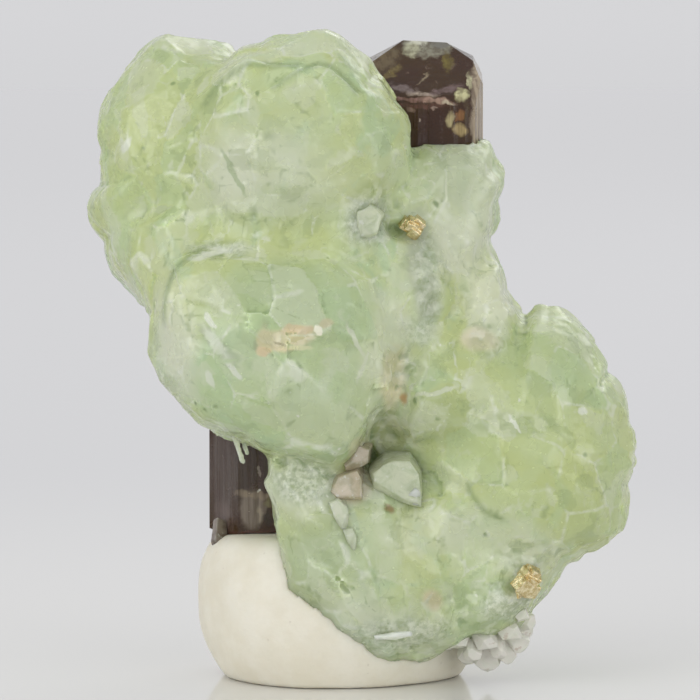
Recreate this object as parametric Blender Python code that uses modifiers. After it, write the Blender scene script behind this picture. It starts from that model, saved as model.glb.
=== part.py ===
"""A brown tanzanite crystal with balls of green prehnite grown round it, stood in a lump of putty.

Lengths are millimetres while a piece is shaped, and each finished mesh is scaled to metres.
+X is right, +Y goes away from the front and +Z is up. The origin is the middle of the putty's
flat foot. The pieces are the tanzanite prism, one prehnite mass, a druse of small clear
crystals low on its right, two pyrite grains and the putty.
"""

import math

import bmesh
import bpy
import numpy as np
from mathutils import Matrix, Vector

MM = 0.001

# Driving dimensions, in millimetres
SURFACE_GAP = 0.25          # air between a piece and the pocket it sits in
CRYSTAL_FRONT_Y = -1.6      # front prism face of the tanzanite
CRYSTAL_BACK_Y = 5.9        # back prism face
CRYSTAL_TOP_Z = 34.95       # small cap face
CRYSTAL_FOOT_Z = 7.75       # lowest point of the broken lower end
PUTTY_WIDTH = 15.5
PUTTY_DEPTH = 13.8
PUTTY_HEIGHT = 8.0          # once its top is pressed flat
PUTTY_BALL_HEIGHT = 9.95    # from its foot, before its top was pressed flat
PUTTY_FOOT_WIDTH = 12.95
PUTTY_LEAN = -0.3           # the lump bulges this far to the left above its foot
PUTTY_FULLNESS = 2.4        # 2 gives a ball, more gives a boxier lump
PUTTY_DENT_SHARE = 0.035    # fingers leave it this much out of round

PREHNITE_TRIANGLES = 7000
LOBE_SUBDIVISIONS = 6
WELD_VOXEL = 0.26           # the lobes are grown together on a grid this fine
CREASE_FILL = 0.7           # valleys between lobes are filled to about this radius
FACET_SHARE = 0.65          # 0 gives round balls, 1 gives wholly flat-sided ones
SKIN_SCALE = 0.985
BALL_FULLNESS = 2.3         # 2 gives an ellipsoid, more gives a boxier ball
LEDGE_RAMP = 4.0            # degrees over which a growth layer's edge falls away

# Shapes of the small crystals, as shares of their radius or width
TAPER_SHARE = 0.9           # a crystal's root beside its shoulder
BEVEL_HEIGHT_SHARE = 0.55   # its shoulder lies this far below its tip
BEVEL_WIDTH_SHARE = 0.45
TIP_SLANT = 0.25            # slope of its end face
PYRITE_CORNER_SHARE = 0.24

# One rounded ball of prehnite each. centre is X, Y, Z. front and back are how far it swells
# towards -Y and +Y. facets is how many slightly flat crystal faces its skin has. outline is
# its edge as X, Z seen from the front, going round.
LOBES = {
    "upper_left": {
        "centre": (-9.4, 1.5, 28.3), "front": 5.4, "back": 5.2, "facets": 46,
        "outline": [
            (-10.1, 34.9), (-7.6, 35.0), (-6.1, 34.8), (-4.8, 33.7), (-4.1, 31.3), (-4.2, 28.9),
            (-4.8, 25.8), (-5.9, 23.1), (-7.6, 21.0), (-10.3, 20.4), (-11.2, 21.2), (-12.5, 22.2),
            (-12.9, 23.3), (-12.9, 23.9), (-13.6, 24.8), (-13.8, 25.9), (-13.5, 26.7),
            (-13.1, 27.0), (-13.1, 28.9), (-13.3, 30.3), (-12.3, 32.4), (-10.7, 34.5),
        ],
    },
    "upper_middle": {
        "centre": (-1.9, -2.5, 29.6), "front": 4.8, "back": 4.2, "facets": 60,
        "caps": [((0.05, -0.95, -0.10), 62, 0.35), ((0.25, -0.9, -0.35), 44, 0.35)],
        "outline": [
            (-5.4, 34.8), (-4.2, 34.9), (-2.1, 35.5), (-0.7, 35.9), (0.1, 35.6), (1.0, 34.8),
            (2.0, 33.4), (3.2, 31.9), (4.0, 30.6), (4.1, 29.2), (3.6, 27.3), (2.3, 25.3),
            (0.3, 24.1), (-2.1, 23.6), (-4.9, 23.9), (-6.8, 25.2), (-7.9, 27.4), (-8.1, 29.8),
            (-7.4, 31.9), (-6.4, 33.7),
        ],
    },
    "middle_left": {
        "centre": (-3.7, -4.5, 18.2), "front": 5.7, "back": 6.2, "facets": 64,
        "caps": [((0.15, -0.95, -0.15), 64, 0.35), ((0.45, -0.85, 0.2), 34, 0.3)],
        "outline": [
            (-5.9, 24.4), (-2.7, 24.6), (0.1, 24.1), (2.0, 22.9), (3.1, 21.1), (3.5, 18.9),
            (3.1, 16.4), (2.5, 14.5), (1.3, 12.5), (0.1, 11.8), (-2.1, 12.3), (-3.7, 12.8),
            (-5.1, 13.35), (-6.95, 14.2), (-8.5, 15.5), (-9.75, 16.9), (-10.1, 18.9),
            (-10.05, 20.5), (-9.8, 21.9), (-8.9, 23.4), (-7.5, 24.1),
        ],
    },
    "right": {
        "centre": (9.7, -1.5, 13.0), "front": 5.9, "back": 6.4, "facets": 70,
        "caps": [((0.35, -0.9, 0.1), 58, 0.35), ((0.0, -0.95, -0.35), 34, 0.35)], "ribs": (30, 0.20),
        "outline": [
            (10.7, 20.4), (11.6, 20.2), (13.1, 19.5), (14.5, 18.0), (14.8, 17.5), (14.7, 17.0),
            (15.2, 16.6), (15.6, 15.6), (15.8, 14.1), (16.2, 13.1), (16.1, 11.5), (15.8, 11.0),
            (15.9, 10.1), (15.6, 8.2), (14.4, 7.1), (12.9, 6.2), (11.3, 5.3), (8.9, 5.2),
            (6.1, 6.4), (4.5, 8.6), (3.6, 11.5), (3.4, 14.3), (4.1, 16.7), (5.8, 18.4),
            (7.8, 19.2), (9.4, 19.5), (10.2, 19.7),
        ],
    },
    "upper_right": {
        "centre": (6.4, 0.2, 25.5), "front": 4.0, "back": 4.6, "facets": 22,
        "outline": [
            (4.2, 29.4), (5.6, 29.9), (7.1, 29.9), (8.3, 29.5), (8.6, 28.6), (9.0, 27.7),
            (8.7, 26.3), (8.15, 24.3), (8.05, 22.8), (7.8, 21.2), (6.4, 20.5), (5.0, 21.0),
            (4.0, 22.8), (3.6, 25.4), (3.8, 27.6),
        ],
    },
    "shoulder": {
        "centre": (7.6, -0.6, 20.5), "front": 4.4, "back": 4.6, "facets": 24,
        "outline": [
            (6.1, 22.9), (7.8, 23.2), (8.7, 22.9), (9.1, 21.5), (9.4, 20.7), (9.9, 19.5),
            (10.1, 18.4), (8.3, 17.6), (6.4, 17.7), (5.0, 18.6), (4.6, 20.2), (5.1, 21.8),
        ],
    },
    "core": {
        "centre": (3.6, -1.5, 18.9), "front": 4.6, "back": 3.0, "facets": 40,
        "outline": [
            (0.6, 23.6), (3.4, 25.4), (5.6, 24.4), (7.2, 21.4), (7.6, 18.1), (7.2, 14.2),
            (5.0, 11.4), (2.3, 10.9), (0.3, 13.7), (-0.2, 17.5), (-0.2, 20.8),
        ],
    },
    "lower_middle": {
        "centre": (0.9, -4.0, 7.0), "front": 4.4, "back": 4.0, "facets": 44, "ribs": (22, 0.18),
        "outline": [
            (-3.7, 12.3), (-2.1, 12.7), (-0.2, 12.4), (2.3, 11.9), (4.7, 10.6), (6.2, 8.4),
            (6.9, 5.0), (6.5, 2.3), (5.0, 1.5), (3.4, 1.3), (1.2, 1.8), (-0.8, 3.0),
            (-2.1, 3.5), (-3.0, 4.6), (-3.4, 6.1), (-3.4, 7.8), (-3.7, 10.0), (-4.0, 11.1),
        ],
    },
    "lower_right": {
        "centre": (8.0, -2.5, 5.4), "front": 4.4, "back": 4.2, "facets": 30,
        "outline": [
            (5.6, 7.6), (7.8, 8.4), (10.0, 7.9), (11.5, 6.6), (11.4, 5.2), (10.9, 4.4),
            (10.2, 3.7), (9.8, 3.0), (8.9, 2.6), (7.2, 2.4), (5.8, 2.4), (5.0, 3.8), (4.9, 5.7),
        ],
    },
    "knob": {
        "centre": (5.2, -5.4, 15.3), "front": 1.7, "back": 4.0, "facets": 14,
        "outline": [
            (3.8, 15.4), (4.1, 16.4), (5.0, 16.8), (6.1, 16.6), (6.8, 15.8), (6.7, 14.7),
            (6.0, 14.1), (4.9, 13.9), (4.0, 14.4),
        ],
    },
    "back_right": {
        "centre": (8.6, 4.6, 13.6), "front": 6.0, "back": 5.0, "facets": 40,
        "outline": [
            (7.6, 18.6), (10.6, 18.4), (13.2, 16.4), (14.0, 13.2), (12.8, 10.0), (10.2, 8.2),
            (7.0, 8.4), (4.6, 10.4), (3.8, 13.6), (5.0, 16.8),
        ],
    },
    "back_left": {
        "centre": (-7.4, 4.6, 21.6), "front": 5.0, "back": 3.8, "facets": 32,
        "outline": [
            (-7.2, 26.2), (-4.4, 25.2), (-3.0, 22.4), (-3.6, 19.2), (-6.0, 17.4), (-8.6, 17.8),
            (-10.0, 19.8), (-11.0, 22.6), (-10.0, 25.4),
        ],
    },
    "back_low": {
        "centre": (0.6, 5.4, 11.2), "front": 4.0, "back": 3.2, "facets": 26,
        "outline": [
            (0.8, 14.4), (3.6, 13.8), (5.4, 11.6), (4.8, 9.2), (2.0, 8.4), (-1.2, 8.6),
            (-3.0, 10.4), (-2.4, 13.0),
        ],
    },
    "saddle_top": {
        "centre": (-2.4, -2.6, 24.4), "front": 4.3, "back": 3.0, "facets": 26,
        "outline": [
            (-2.4, 27.6), (1.0, 27.2), (3.4, 25.6), (3.8, 24.0), (2.0, 22.2), (-1.0, 21.4),
            (-4.4, 21.6), (-7.2, 22.8), (-8.2, 24.6), (-7.0, 26.4), (-4.8, 27.4),
        ],
    },
    "saddle_left": {
        "centre": (-7.0, -0.8, 28.2), "front": 4.4, "back": 3.0, "facets": 26,
        "outline": [
            (-6.8, 33.6), (-4.8, 32.0), (-4.2, 28.6), (-4.8, 25.4), (-6.6, 23.6), (-9.0, 24.4),
            (-10.2, 27.4), (-9.8, 30.8), (-8.6, 33.0),
        ],
    },
    "saddle_left_low": {
        "centre": (-8.4, -1.6, 23.4), "front": 4.2, "back": 3.6, "facets": 22,
        "outline": [
            (-8.2, 26.6), (-5.6, 25.6), (-4.8, 23.0), (-6.0, 20.8), (-8.6, 20.2), (-10.8, 21.2),
            (-11.8, 23.2), (-10.8, 25.6),
        ],
    },
    "saddle_core": {
        "centre": (2.6, -2.8, 21.6), "front": 3.7, "back": 2.0, "facets": 26,
        "outline": [
            (2.6, 25.4), (5.0, 24.6), (6.2, 22.0), (5.6, 19.0), (3.4, 17.4), (0.8, 18.0),
            (-0.8, 20.6), (-0.4, 23.8),
        ],
    },
    "saddle_right": {
        "centre": (5.8, -2.2, 17.2), "front": 4.0, "back": 3.0, "facets": 24,
        "outline": [
            (5.8, 20.2), (8.4, 19.6), (9.6, 17.4), (8.8, 15.0), (6.2, 14.2), (3.8, 14.8),
            (2.8, 17.0), (3.6, 19.4),
        ],
    },
    "saddle_low": {
        "centre": (5.4, -3.2, 8.4), "front": 4.2, "back": 3.0, "facets": 26,
        "outline": [
            (5.4, 11.4), (8.2, 11.0), (9.8, 8.6), (9.0, 6.2), (6.0, 5.2), (3.0, 5.8),
            (1.6, 8.0), (2.6, 10.6),
        ],
    },
}

# Small flat-faced crystals fused to the mass: root, tip, radius
SPLINTERS = [
    ((3.25, -4.9, 12.2), (3.2, -7.4, 11.4), 1.35),       # block in the hollow
    ((0.8, -5.8, 11.5), (0.2, -7.7, 11.2), 0.75),        # pinkish stub
    ((1.3, -4.9, 12.5), (1.1, -7.2, 12.9), 0.60),        # pinkish chip in the cleft
    ((0.3, -6.6, 9.4), (-0.1, -8.3, 9.9), 0.70),         # milky stub
    ((-5.9, -5.2, 15.2), (-5.15, -5.8, 12.3), 0.40),     # blade hanging under the left ball
    ((1.9, -7.5, 3.0), (4.1, -8.2, 3.35), 0.40),         # white needle low in front
]

# Hollows sunk in the mass between the balls: centre, radii
HOLLOWS = [
    ((2.5, -7.5, 13.6), (1.2, 2.2, 1.4)),     # the deep pit beside the left ball
    ((1.3, -9.0, 11.9), (1.0, 1.5, 0.6)),     # the cleft that runs down from it
]

# The prism's section as X, Y, going round from the front left corner: a broad front face,
# narrow bevels and a stepped, fluted back, as crystals grown side by side leave it.
PRISM_SECTION = [
    (-5.75, -1.35), (-5.55, CRYSTAL_FRONT_Y), (1.6, CRYSTAL_FRONT_Y), (1.8, -1.45),
    (6.9, -1.5), (7.45, -0.95), (7.7, -0.2), (7.9, 0.5), (7.9, 3.6), (7.2, 4.9), (5.9, 5.5),
    (3.1, 5.75), (2.9, 5.5), (0.4, 5.7), (0.1, CRYSTAL_BACK_Y), (-4.2, 5.8), (-5.6, 5.3),
    (-6.9, 4.0), (-7.15, 2.9), (-7.15, 0.3),
]

# Faces that end the prism: a point on each, X, Y, Z, and which way it faces
CROWN_FACES = [
    ((4.6, 1.5, CRYSTAL_TOP_Z), (0.0, -0.10, 1.0)),             # small cap
    ((4.0, CRYSTAL_FRONT_Y, 31.9), (0.03, -0.62, 0.78)),        # broad front slope
    ((3.5, 0.0, 34.8), (-0.52, -0.05, 0.86)),                   # long slope down to the left
    ((6.2, 0.0, 34.45), (0.50, -0.08, 0.86)),                   # short slope to the right
    ((7.35, 0.0, 33.75), (0.90, -0.05, 0.42)),                  # steep right shoulder
    ((3.0, CRYSTAL_BACK_Y, 32.2), (0.05, 0.60, 0.80)),          # back slope
]
FOOT_FACES = [
    ((-6.4, -1.0, 7.95), (-0.38, -0.10, -0.92)),
    ((-3.0, 0.0, 7.9), (0.04, -0.12, -0.99)),
    ((3.0, 3.0, CRYSTAL_FOOT_Z), (0.22, 0.25, -0.94)),
]
CROWN_TRIM = 40.0           # prism length before its ends are cut

# Pyrite grains: centre, width of the crystal cube and its turn in degrees about X, Y, Z
PYRITES = {
    "pyrite_grain_upper": ((3.9, -4.9, 25.2), 1.05, (24, 31, 12)),
    "pyrite_grain_lower": ((10.2, -6.3, 6.0), 1.35, (38, 17, 40)),
}

# The balls that are pressed into the putty
PRESSED_LOBES = ("lower_middle", "lower_right", "back_low", "saddle_low", "right")

# The druse: its lump, then each small crystal's root, tip and radius
DRUSE_CENTRE = (7.9, -3.4, 3.4)
DRUSE_RADII = (2.2, 1.6, 1.2)
DRUSE_CRYSTALS = [
    ((8.0, -3.3, 3.4), (8.2, -3.7, 0.75), 0.95),
    ((7.3, -3.5, 3.2), (6.9, -3.9, 1.2), 0.55),
    ((8.6, -3.3, 3.4), (10.3, -3.6, 2.0), 0.80),
    ((8.9, -3.4, 3.8), (10.7, -3.8, 3.5), 0.50),
    ((8.0, -3.6, 3.6), (8.0, -5.7, 2.5), 0.75),
    ((7.2, -3.6, 3.4), (6.2, -5.4, 2.6), 0.65),
    ((8.8, -3.6, 3.7), (9.6, -5.5, 3.1), 0.60),
    ((7.0, -3.4, 3.3), (5.5, -4.4, 2.4), 0.55),
    ((8.0, -3.9, 4.0), (8.6, -5.8, 4.1), 0.55),
    ((8.2, -2.8, 3.2), (8.9, -1.6, 1.7), 0.65),
    ((7.3, -2.8, 3.2), (6.9, -1.8, 1.8), 0.55),
]

COLOURS = {
    "tanzanite": ((0.075, 0.042, 0.030), 0.12, 0.0),
    "prehnite": ((0.46, 0.55, 0.31), 0.35, 0.0),
    "clear_crystal": ((0.55, 0.54, 0.46), 0.20, 0.0),
    "pyrite": ((0.62, 0.45, 0.18), 0.28, 1.0),
    "putty": ((0.78, 0.73, 0.60), 0.60, 0.0),
}


def clear_scene():
    for obj in list(bpy.data.objects):
        bpy.data.objects.remove(obj, do_unlink=True)


def make_collections():
    parts = bpy.data.collections.new("tanzanite_with_prehnite")
    cutters = bpy.data.collections.new("cutters")
    for collection in (parts, cutters):
        bpy.context.scene.collection.children.link(collection)
    cutters.hide_render = True
    return parts, cutters


def make_material(name):
    colour, roughness, metallic = COLOURS[name]
    material = bpy.data.materials.new(name)
    material.use_nodes = True
    shader = material.node_tree.nodes["Principled BSDF"]
    shader.inputs["Base Color"].default_value = (*colour, 1.0)
    shader.inputs["Roughness"].default_value = roughness
    shader.inputs["Metallic"].default_value = metallic
    return material


def sphere_directions(count, seed):
    """count unit vectors spread evenly over a sphere, each nudged a little."""
    rng = np.random.default_rng(seed)
    golden = math.pi * (3 - math.sqrt(5))
    height = 1 - 2 * (np.arange(count) + 0.5) / count
    turn = golden * np.arange(count) + rng.uniform(0, 2 * math.pi)
    ring = np.sqrt(1 - height**2)
    points = np.column_stack((ring * np.cos(turn), ring * np.sin(turn), height))
    points += rng.normal(0, 0.55 / math.sqrt(count), points.shape)
    return points / np.linalg.norm(points, axis=1, keepdims=True)


def lobe_radius(lobe, seed, directions):
    """Distance from a lobe's centre to its skin along each unit direction, in millimetres.

    A lobe may have caps, which are growth layers that end in a ledge: which way each faces,
    how many degrees it spreads and how thick it is. It may have ribs round its rim: how many
    and how high. They are uneven, as crystals grown side by side are.
    """
    centre = np.array(lobe["centre"])
    outline = np.array(lobe["outline"]) - centre[[0, 2]]
    angles = np.arctan2(outline[:, 1], outline[:, 0])
    spokes = np.hypot(outline[:, 0], outline[:, 1])
    heading = np.arctan2(directions[:, 2], directions[:, 0])
    edge = np.interp(heading, *sorted_pair(angles, spokes), period=2 * math.pi)
    depth = np.where(directions[:, 1] < 0, lobe["front"], lobe["back"])
    across = np.sqrt(np.clip(1 - directions[:, 1] ** 2, 0, 1))
    spread = (across / edge) ** BALL_FULLNESS + (abs(directions[:, 1]) / depth) ** BALL_FULLNESS
    smooth = spread ** (-1 / BALL_FULLNESS)
    ledges = sum(cap_rise(cap, directions) for cap in lobe.get("caps", []))
    count, height = lobe.get("ribs", (0, 0.0))
    sway = 2.2 * np.sin(3 * heading + seed) + 1.6 * np.sin(5 * heading)
    unevenness = 0.55 + 0.45 * np.sin(7 * heading + 2 * seed)
    ribs = height * unevenness * across**4 * (np.abs(np.sin(0.5 * count * heading + sway)) - 1)
    return smooth * facet_factor(lobe["facets"], seed, directions) + ledges + ribs


def cap_rise(cap, directions):
    """Thickness of a growth layer along each direction: nothing outside its wavy edge."""
    facing, spread, thickness = cap
    axis = np.array(facing) / np.linalg.norm(facing)
    away = np.degrees(np.arccos(np.clip(directions @ axis, -1, 1)))
    wave = 3.5 * np.sin(9 * directions[:, 0] + 5 * directions[:, 2]) + 2.5 * np.sin(15 * directions[:, 2])
    return thickness * np.clip((spread - away + wave) / LEDGE_RAMP, 0, 1)


def sorted_pair(keys, values):
    order = np.argsort(keys)
    return keys[order], values[order]


def facet_factor(count, seed, directions):
    """How a skin of count slightly flat, slightly stepped faces departs from a round one."""
    normals = sphere_directions(count, seed)
    rng = np.random.default_rng(seed + 1000)
    rise = rng.uniform(0.96, 1.04, count)
    flat = np.min(rise / np.maximum(directions @ normals.T, 0.05), axis=1)
    return SKIN_SCALE * flat**FACET_SHARE


def lobe_mesh(lobe, seed, subdivisions, grow=0.0):
    """A ball pushed out to the lobe's skin, or grow millimetres past it."""
    shape = bmesh.new()
    bmesh.ops.create_icosphere(shape, subdivisions=subdivisions, radius=1.0)
    directions = np.array([vertex.co for vertex in shape.verts])
    radius = lobe_radius(lobe, seed, directions) + grow
    points = np.array(lobe["centre"]) + directions * radius[:, None]
    for vertex, point in zip(shape.verts, points):
        vertex.co = point
    mesh = bpy.data.meshes.new("lobe")
    shape.to_mesh(mesh)
    shape.free()
    return mesh


def joined(meshes):
    """One mesh that holds all of these. They may run through each other."""
    shape = bmesh.new()
    for mesh in meshes:
        shape.from_mesh(mesh)
    whole = bpy.data.meshes.new("joined")
    shape.to_mesh(whole)
    shape.free()
    return whole


def applied(mesh, add_modifiers):
    """The mesh after the modifiers that add_modifiers puts on an object made from it."""
    obj = bpy.data.objects.new("shaping", mesh)
    bpy.context.scene.collection.objects.link(obj)
    add_modifiers(obj)
    bpy.context.view_layer.update()
    graph = bpy.context.evaluated_depsgraph_get()
    result = bpy.data.meshes.new_from_object(obj.evaluated_get(graph))
    bpy.data.objects.remove(obj, do_unlink=True)
    return result


def grown_together(meshes, voxel, triangles):
    """The meshes, CREASE_FILL too big, as one closed skin with about this many triangles."""
    def grow(obj):
        for name, push in (("grow together", -CREASE_FILL), ("mend", 0.0)):
            remesh = obj.modifiers.new(name, "REMESH")
            remesh.mode = "VOXEL"
            remesh.voxel_size = voxel
            shrink = obj.modifiers.new("shrink back", "DISPLACE")
            shrink.mid_level = 0.0
            shrink.strength = push
        soften = obj.modifiers.new("soften", "SMOOTH")
        soften.factor = 0.5
        soften.iterations = 2

    skin = applied(joined(meshes), grow)
    share = triangles / (2 * len(skin.polygons))

    def thin(obj):
        decimate = obj.modifiers.new("fewer faces", "DECIMATE")
        decimate.ratio = share
        decimate.use_collapse_triangulate = True

    return applied(skin, thin)


def cut_away(mesh, cutter_meshes, operation="DIFFERENCE"):
    """The mesh less each cutter, or joined to each when the operation is UNION."""
    others = []
    for cutter_mesh in cutter_meshes:
        other = bpy.data.objects.new("cutter", cutter_mesh)
        other.hide_render = True
        other.display_type = "WIRE"
        bpy.data.collections["cutters"].objects.link(other)
        others.append(other)

    def cut(obj):
        for other in others:
            boolean = obj.modifiers.new("cut", "BOOLEAN")
            boolean.operation = operation
            boolean.object = other

    result = applied(mesh, cut)
    for other in others:
        bpy.data.objects.remove(other, do_unlink=True)
    return result


def main_body(mesh):
    """The mesh without the loose chips that a cut may leave beside its main body."""
    shape = bmesh.new()
    shape.from_mesh(mesh)
    unseen = set(shape.verts)
    bodies = []
    while unseen:
        body = {unseen.pop()}
        edge = list(body)
        while edge:
            near = {link.other_vert(vertex) for vertex in edge for link in vertex.link_edges} & unseen
            unseen -= near
            body |= near
            edge = list(near)
        bodies.append(body)
    bodies.sort(key=len)
    bmesh.ops.delete(shape, geom=[vertex for body in bodies[:-1] for vertex in body], context="VERTS")
    kept = bpy.data.meshes.new("main body")
    shape.to_mesh(kept)
    shape.free()
    return kept


def slice_off(shape, point, outward, grow):
    """Cuts the solid flat at a plane and closes it, keeping the side away from outward."""
    normal = Vector(outward).normalized()
    geometry = shape.verts[:] + shape.edges[:] + shape.faces[:]
    cut = bmesh.ops.bisect_plane(
        shape, geom=geometry, plane_co=Vector(point) + normal * grow, plane_no=normal, clear_outer=True
    )
    rim = [item for item in cut["geom_cut"] if isinstance(item, bmesh.types.BMEdge)]
    if rim:
        bmesh.ops.contextual_create(shape, geom=rim)


def crystal_mesh(grow=0.0):
    """The tanzanite prism, or one that stands grow millimetres outside it all round."""
    middle = np.mean(PRISM_SECTION, axis=0)
    section = [Vector((x, y, 0.0)) for x, y in PRISM_SECTION]
    shape = bmesh.new()
    for index, corner in enumerate(section):
        along = (section[(index + 1) % len(section)] - section[index - 1]).normalized()
        outward = Vector((along.y, -along.x, 0.0))
        shape.verts.new(corner + outward * grow)
    base = shape.faces.new(shape.verts[:])
    base.normal_update()
    pushed = bmesh.ops.extrude_face_region(shape, geom=[base])
    top = [item for item in pushed["geom"] if isinstance(item, bmesh.types.BMVert)]
    bmesh.ops.translate(shape, verts=top, vec=(0.0, 0.0, CROWN_TRIM))
    bmesh.ops.recalc_face_normals(shape, faces=shape.faces[:])
    for point, outward in CROWN_FACES + FOOT_FACES:
        slice_off(shape, point, outward, grow)
    bmesh.ops.recalc_face_normals(shape, faces=shape.faces[:])
    bmesh.ops.triangulate(shape, faces=shape.faces[:])
    mesh = bpy.data.meshes.new("crystal")
    shape.to_mesh(mesh)
    shape.free()
    return mesh


def pyrite_mesh(centre, width, turn, grow=0.0):
    """A small cube crystal with its corners cut off."""
    shape = bmesh.new()
    bmesh.ops.create_cube(shape, size=width + 2 * grow)
    bmesh.ops.bevel(
        shape, geom=shape.verts[:], offset=PYRITE_CORNER_SHARE * width, affect="VERTICES", segments=1,
        profile=0.5,
    )
    bmesh.ops.triangulate(shape, faces=shape.faces[:])
    rotation = Matrix.Identity(4)
    for degrees, axis in zip(turn, "XYZ"):
        rotation = Matrix.Rotation(math.radians(degrees), 4, axis) @ rotation
    bmesh.ops.transform(shape, matrix=Matrix.Translation(centre) @ rotation, verts=shape.verts[:])
    mesh = bpy.data.meshes.new("pyrite")
    shape.to_mesh(mesh)
    shape.free()
    return mesh


def point_crystal_mesh(root, tip, radius):
    """A six-sided crystal with a blunt, lopsided end, from root to tip."""
    root, tip = Vector(root), Vector(tip)
    length = (tip - root).length
    shaft = length - BEVEL_HEIGHT_SHARE * radius
    shape = bmesh.new()
    bmesh.ops.create_cone(
        shape, cap_ends=True, segments=6, radius1=TAPER_SHARE * radius, radius2=radius, depth=shaft,
        matrix=Matrix.Translation((0, 0, shaft / 2)),
    )
    top = max(shape.faces, key=lambda face: face.calc_center_median().z)
    bmesh.ops.inset_region(shape, faces=[top], thickness=BEVEL_WIDTH_SHARE * radius, depth=0.0)
    for vertex in top.verts:
        vertex.co.z = length + TIP_SLANT * vertex.co.x
    bmesh.ops.triangulate(shape, faces=shape.faces[:])
    turn = (tip - root).to_track_quat("Z", "X").to_matrix().to_4x4()
    bmesh.ops.transform(shape, matrix=Matrix.Translation(root) @ turn, verts=shape.verts[:])
    mesh = bpy.data.meshes.new("point crystal")
    shape.to_mesh(mesh)
    shape.free()
    return mesh


def ellipsoid_mesh(centre, radii, subdivisions):
    shape = bmesh.new()
    bmesh.ops.create_icosphere(shape, subdivisions=subdivisions, radius=1.0)
    scale = Matrix.Diagonal((*radii, 1.0))
    bmesh.ops.transform(shape, matrix=Matrix.Translation(centre) @ scale, verts=shape.verts[:])
    mesh = bpy.data.meshes.new("ellipsoid")
    shape.to_mesh(mesh)
    shape.free()
    return mesh


def druse_mesh():
    lump = ellipsoid_mesh(DRUSE_CENTRE, DRUSE_RADII, 3)
    points = [point_crystal_mesh(*crystal) for crystal in DRUSE_CRYSTALS]
    return cut_away(lump, points, "UNION")


def hull_mesh(mesh, grow):
    """A closed wrap round the mesh that clears it by about grow millimetres."""
    shape = bmesh.new()
    shape.from_mesh(mesh)
    wrap = bmesh.ops.convex_hull(shape, input=shape.verts[:])
    kept = {item for item in wrap["geom"] if isinstance(item, bmesh.types.BMFace)}
    bmesh.ops.delete(shape, geom=[face for face in shape.faces if face not in kept], context="FACES")
    loose = [vertex for vertex in shape.verts if not vertex.link_faces]
    bmesh.ops.delete(shape, geom=loose, context="VERTS")
    bmesh.ops.recalc_face_normals(shape, faces=shape.faces[:])
    shape.normal_update()
    pushes = [vertex.normal.copy() * grow for vertex in shape.verts]
    for vertex, push in zip(shape.verts, pushes):
        vertex.co += push
    wrapped = bpy.data.meshes.new("wrap")
    shape.to_mesh(wrapped)
    shape.free()
    return wrapped


def putty_mesh():
    """A hand-pressed lump, round with a flat foot and a flattened top."""
    shape = bmesh.new()
    bmesh.ops.create_icosphere(shape, subdivisions=4, radius=1.0)
    foot_share = PUTTY_FOOT_WIDTH / PUTTY_WIDTH
    foot_level = -((1 - foot_share**PUTTY_FULLNESS) ** (1 / PUTTY_FULLNESS))
    height_scale = PUTTY_BALL_HEIGHT / (1 - foot_level)
    top_level = PUTTY_HEIGHT / height_scale + foot_level
    for vertex in shape.verts:
        x, y, z = vertex.co
        spread = math.hypot(x, y) ** PUTTY_FULLNESS + abs(z) ** PUTTY_FULLNESS
        x, y, z = vertex.co * spread ** (-1 / PUTTY_FULLNESS)
        dent = 1 + PUTTY_DENT_SHARE * math.sin(3 * math.atan2(y, x) + 0.8) * (1 - z * z)
        shelf = min(z, top_level)
        lean = PUTTY_LEAN * (shelf - foot_level)
        height = (shelf - foot_level) * height_scale
        vertex.co = (x * PUTTY_WIDTH / 2 * dent + lean, y * PUTTY_DEPTH / 2 * dent, height)
    slice_off(shape, (0, 0, 0), (0, 0, -1), 0.0)
    bmesh.ops.triangulate(shape, faces=shape.faces[:])
    bmesh.ops.recalc_face_normals(shape, faces=shape.faces[:])
    mesh = bpy.data.meshes.new("putty")
    shape.to_mesh(mesh)
    shape.free()
    return mesh


def place(name, mesh, material, collection):
    """Links a finished mesh as an object whose origin is the middle of its box, in metres."""
    corners = np.array([vertex.co for vertex in mesh.vertices])
    middle = Vector((corners.min(axis=0) + corners.max(axis=0)) / 2)
    mesh.transform(Matrix.Scale(MM, 4) @ Matrix.Translation(-middle))
    mesh.name = name
    mesh.materials.clear()
    mesh.materials.append(material)
    obj = bpy.data.objects.new(name, mesh)
    obj.location = middle * MM
    collection.objects.link(obj)
    return obj


def main():
    clear_scene()
    parts, _ = make_collections()
    materials = {name: make_material(name) for name in COLOURS}

    druse = druse_mesh()
    seeds = {name: number for number, name in enumerate(LOBES, start=11)}
    balls = [
        lobe_mesh(lobe, seeds[name], LOBE_SUBDIVISIONS, grow=CREASE_FILL) for name, lobe in LOBES.items()
    ]
    skin = grown_together(balls, WELD_VOXEL, PREHNITE_TRIANGLES)
    pockets = [crystal_mesh(SURFACE_GAP), hull_mesh(druse, SURFACE_GAP)]
    pockets += [pyrite_mesh(*grain, grow=SURFACE_GAP) for grain in PYRITES.values()]
    pockets += [ellipsoid_mesh(*hollow, 2) for hollow in HOLLOWS]
    grown = cut_away(skin, [point_crystal_mesh(*splinter) for splinter in SPLINTERS], "UNION")
    prehnite = main_body(cut_away(grown, pockets))

    pressed = [crystal_mesh(SURFACE_GAP), hull_mesh(druse, SURFACE_GAP)]
    pressed += [
        lobe_mesh(LOBES[name], seeds[name], 4, grow=2 * SURFACE_GAP)
        for name in PRESSED_LOBES
    ]
    putty = main_body(cut_away(putty_mesh(), pressed))

    place("tanzanite_crystal", crystal_mesh(), materials["tanzanite"], parts)
    place("prehnite_cluster", prehnite, materials["prehnite"], parts)
    place("clear_crystal_druse", druse, materials["clear_crystal"], parts)
    for name, grain in PYRITES.items():
        place(name, pyrite_mesh(*grain), materials["pyrite"], parts)
    place("display_putty", putty, materials["putty"], parts)


main()
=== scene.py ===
import functools
import itertools
import math

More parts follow.
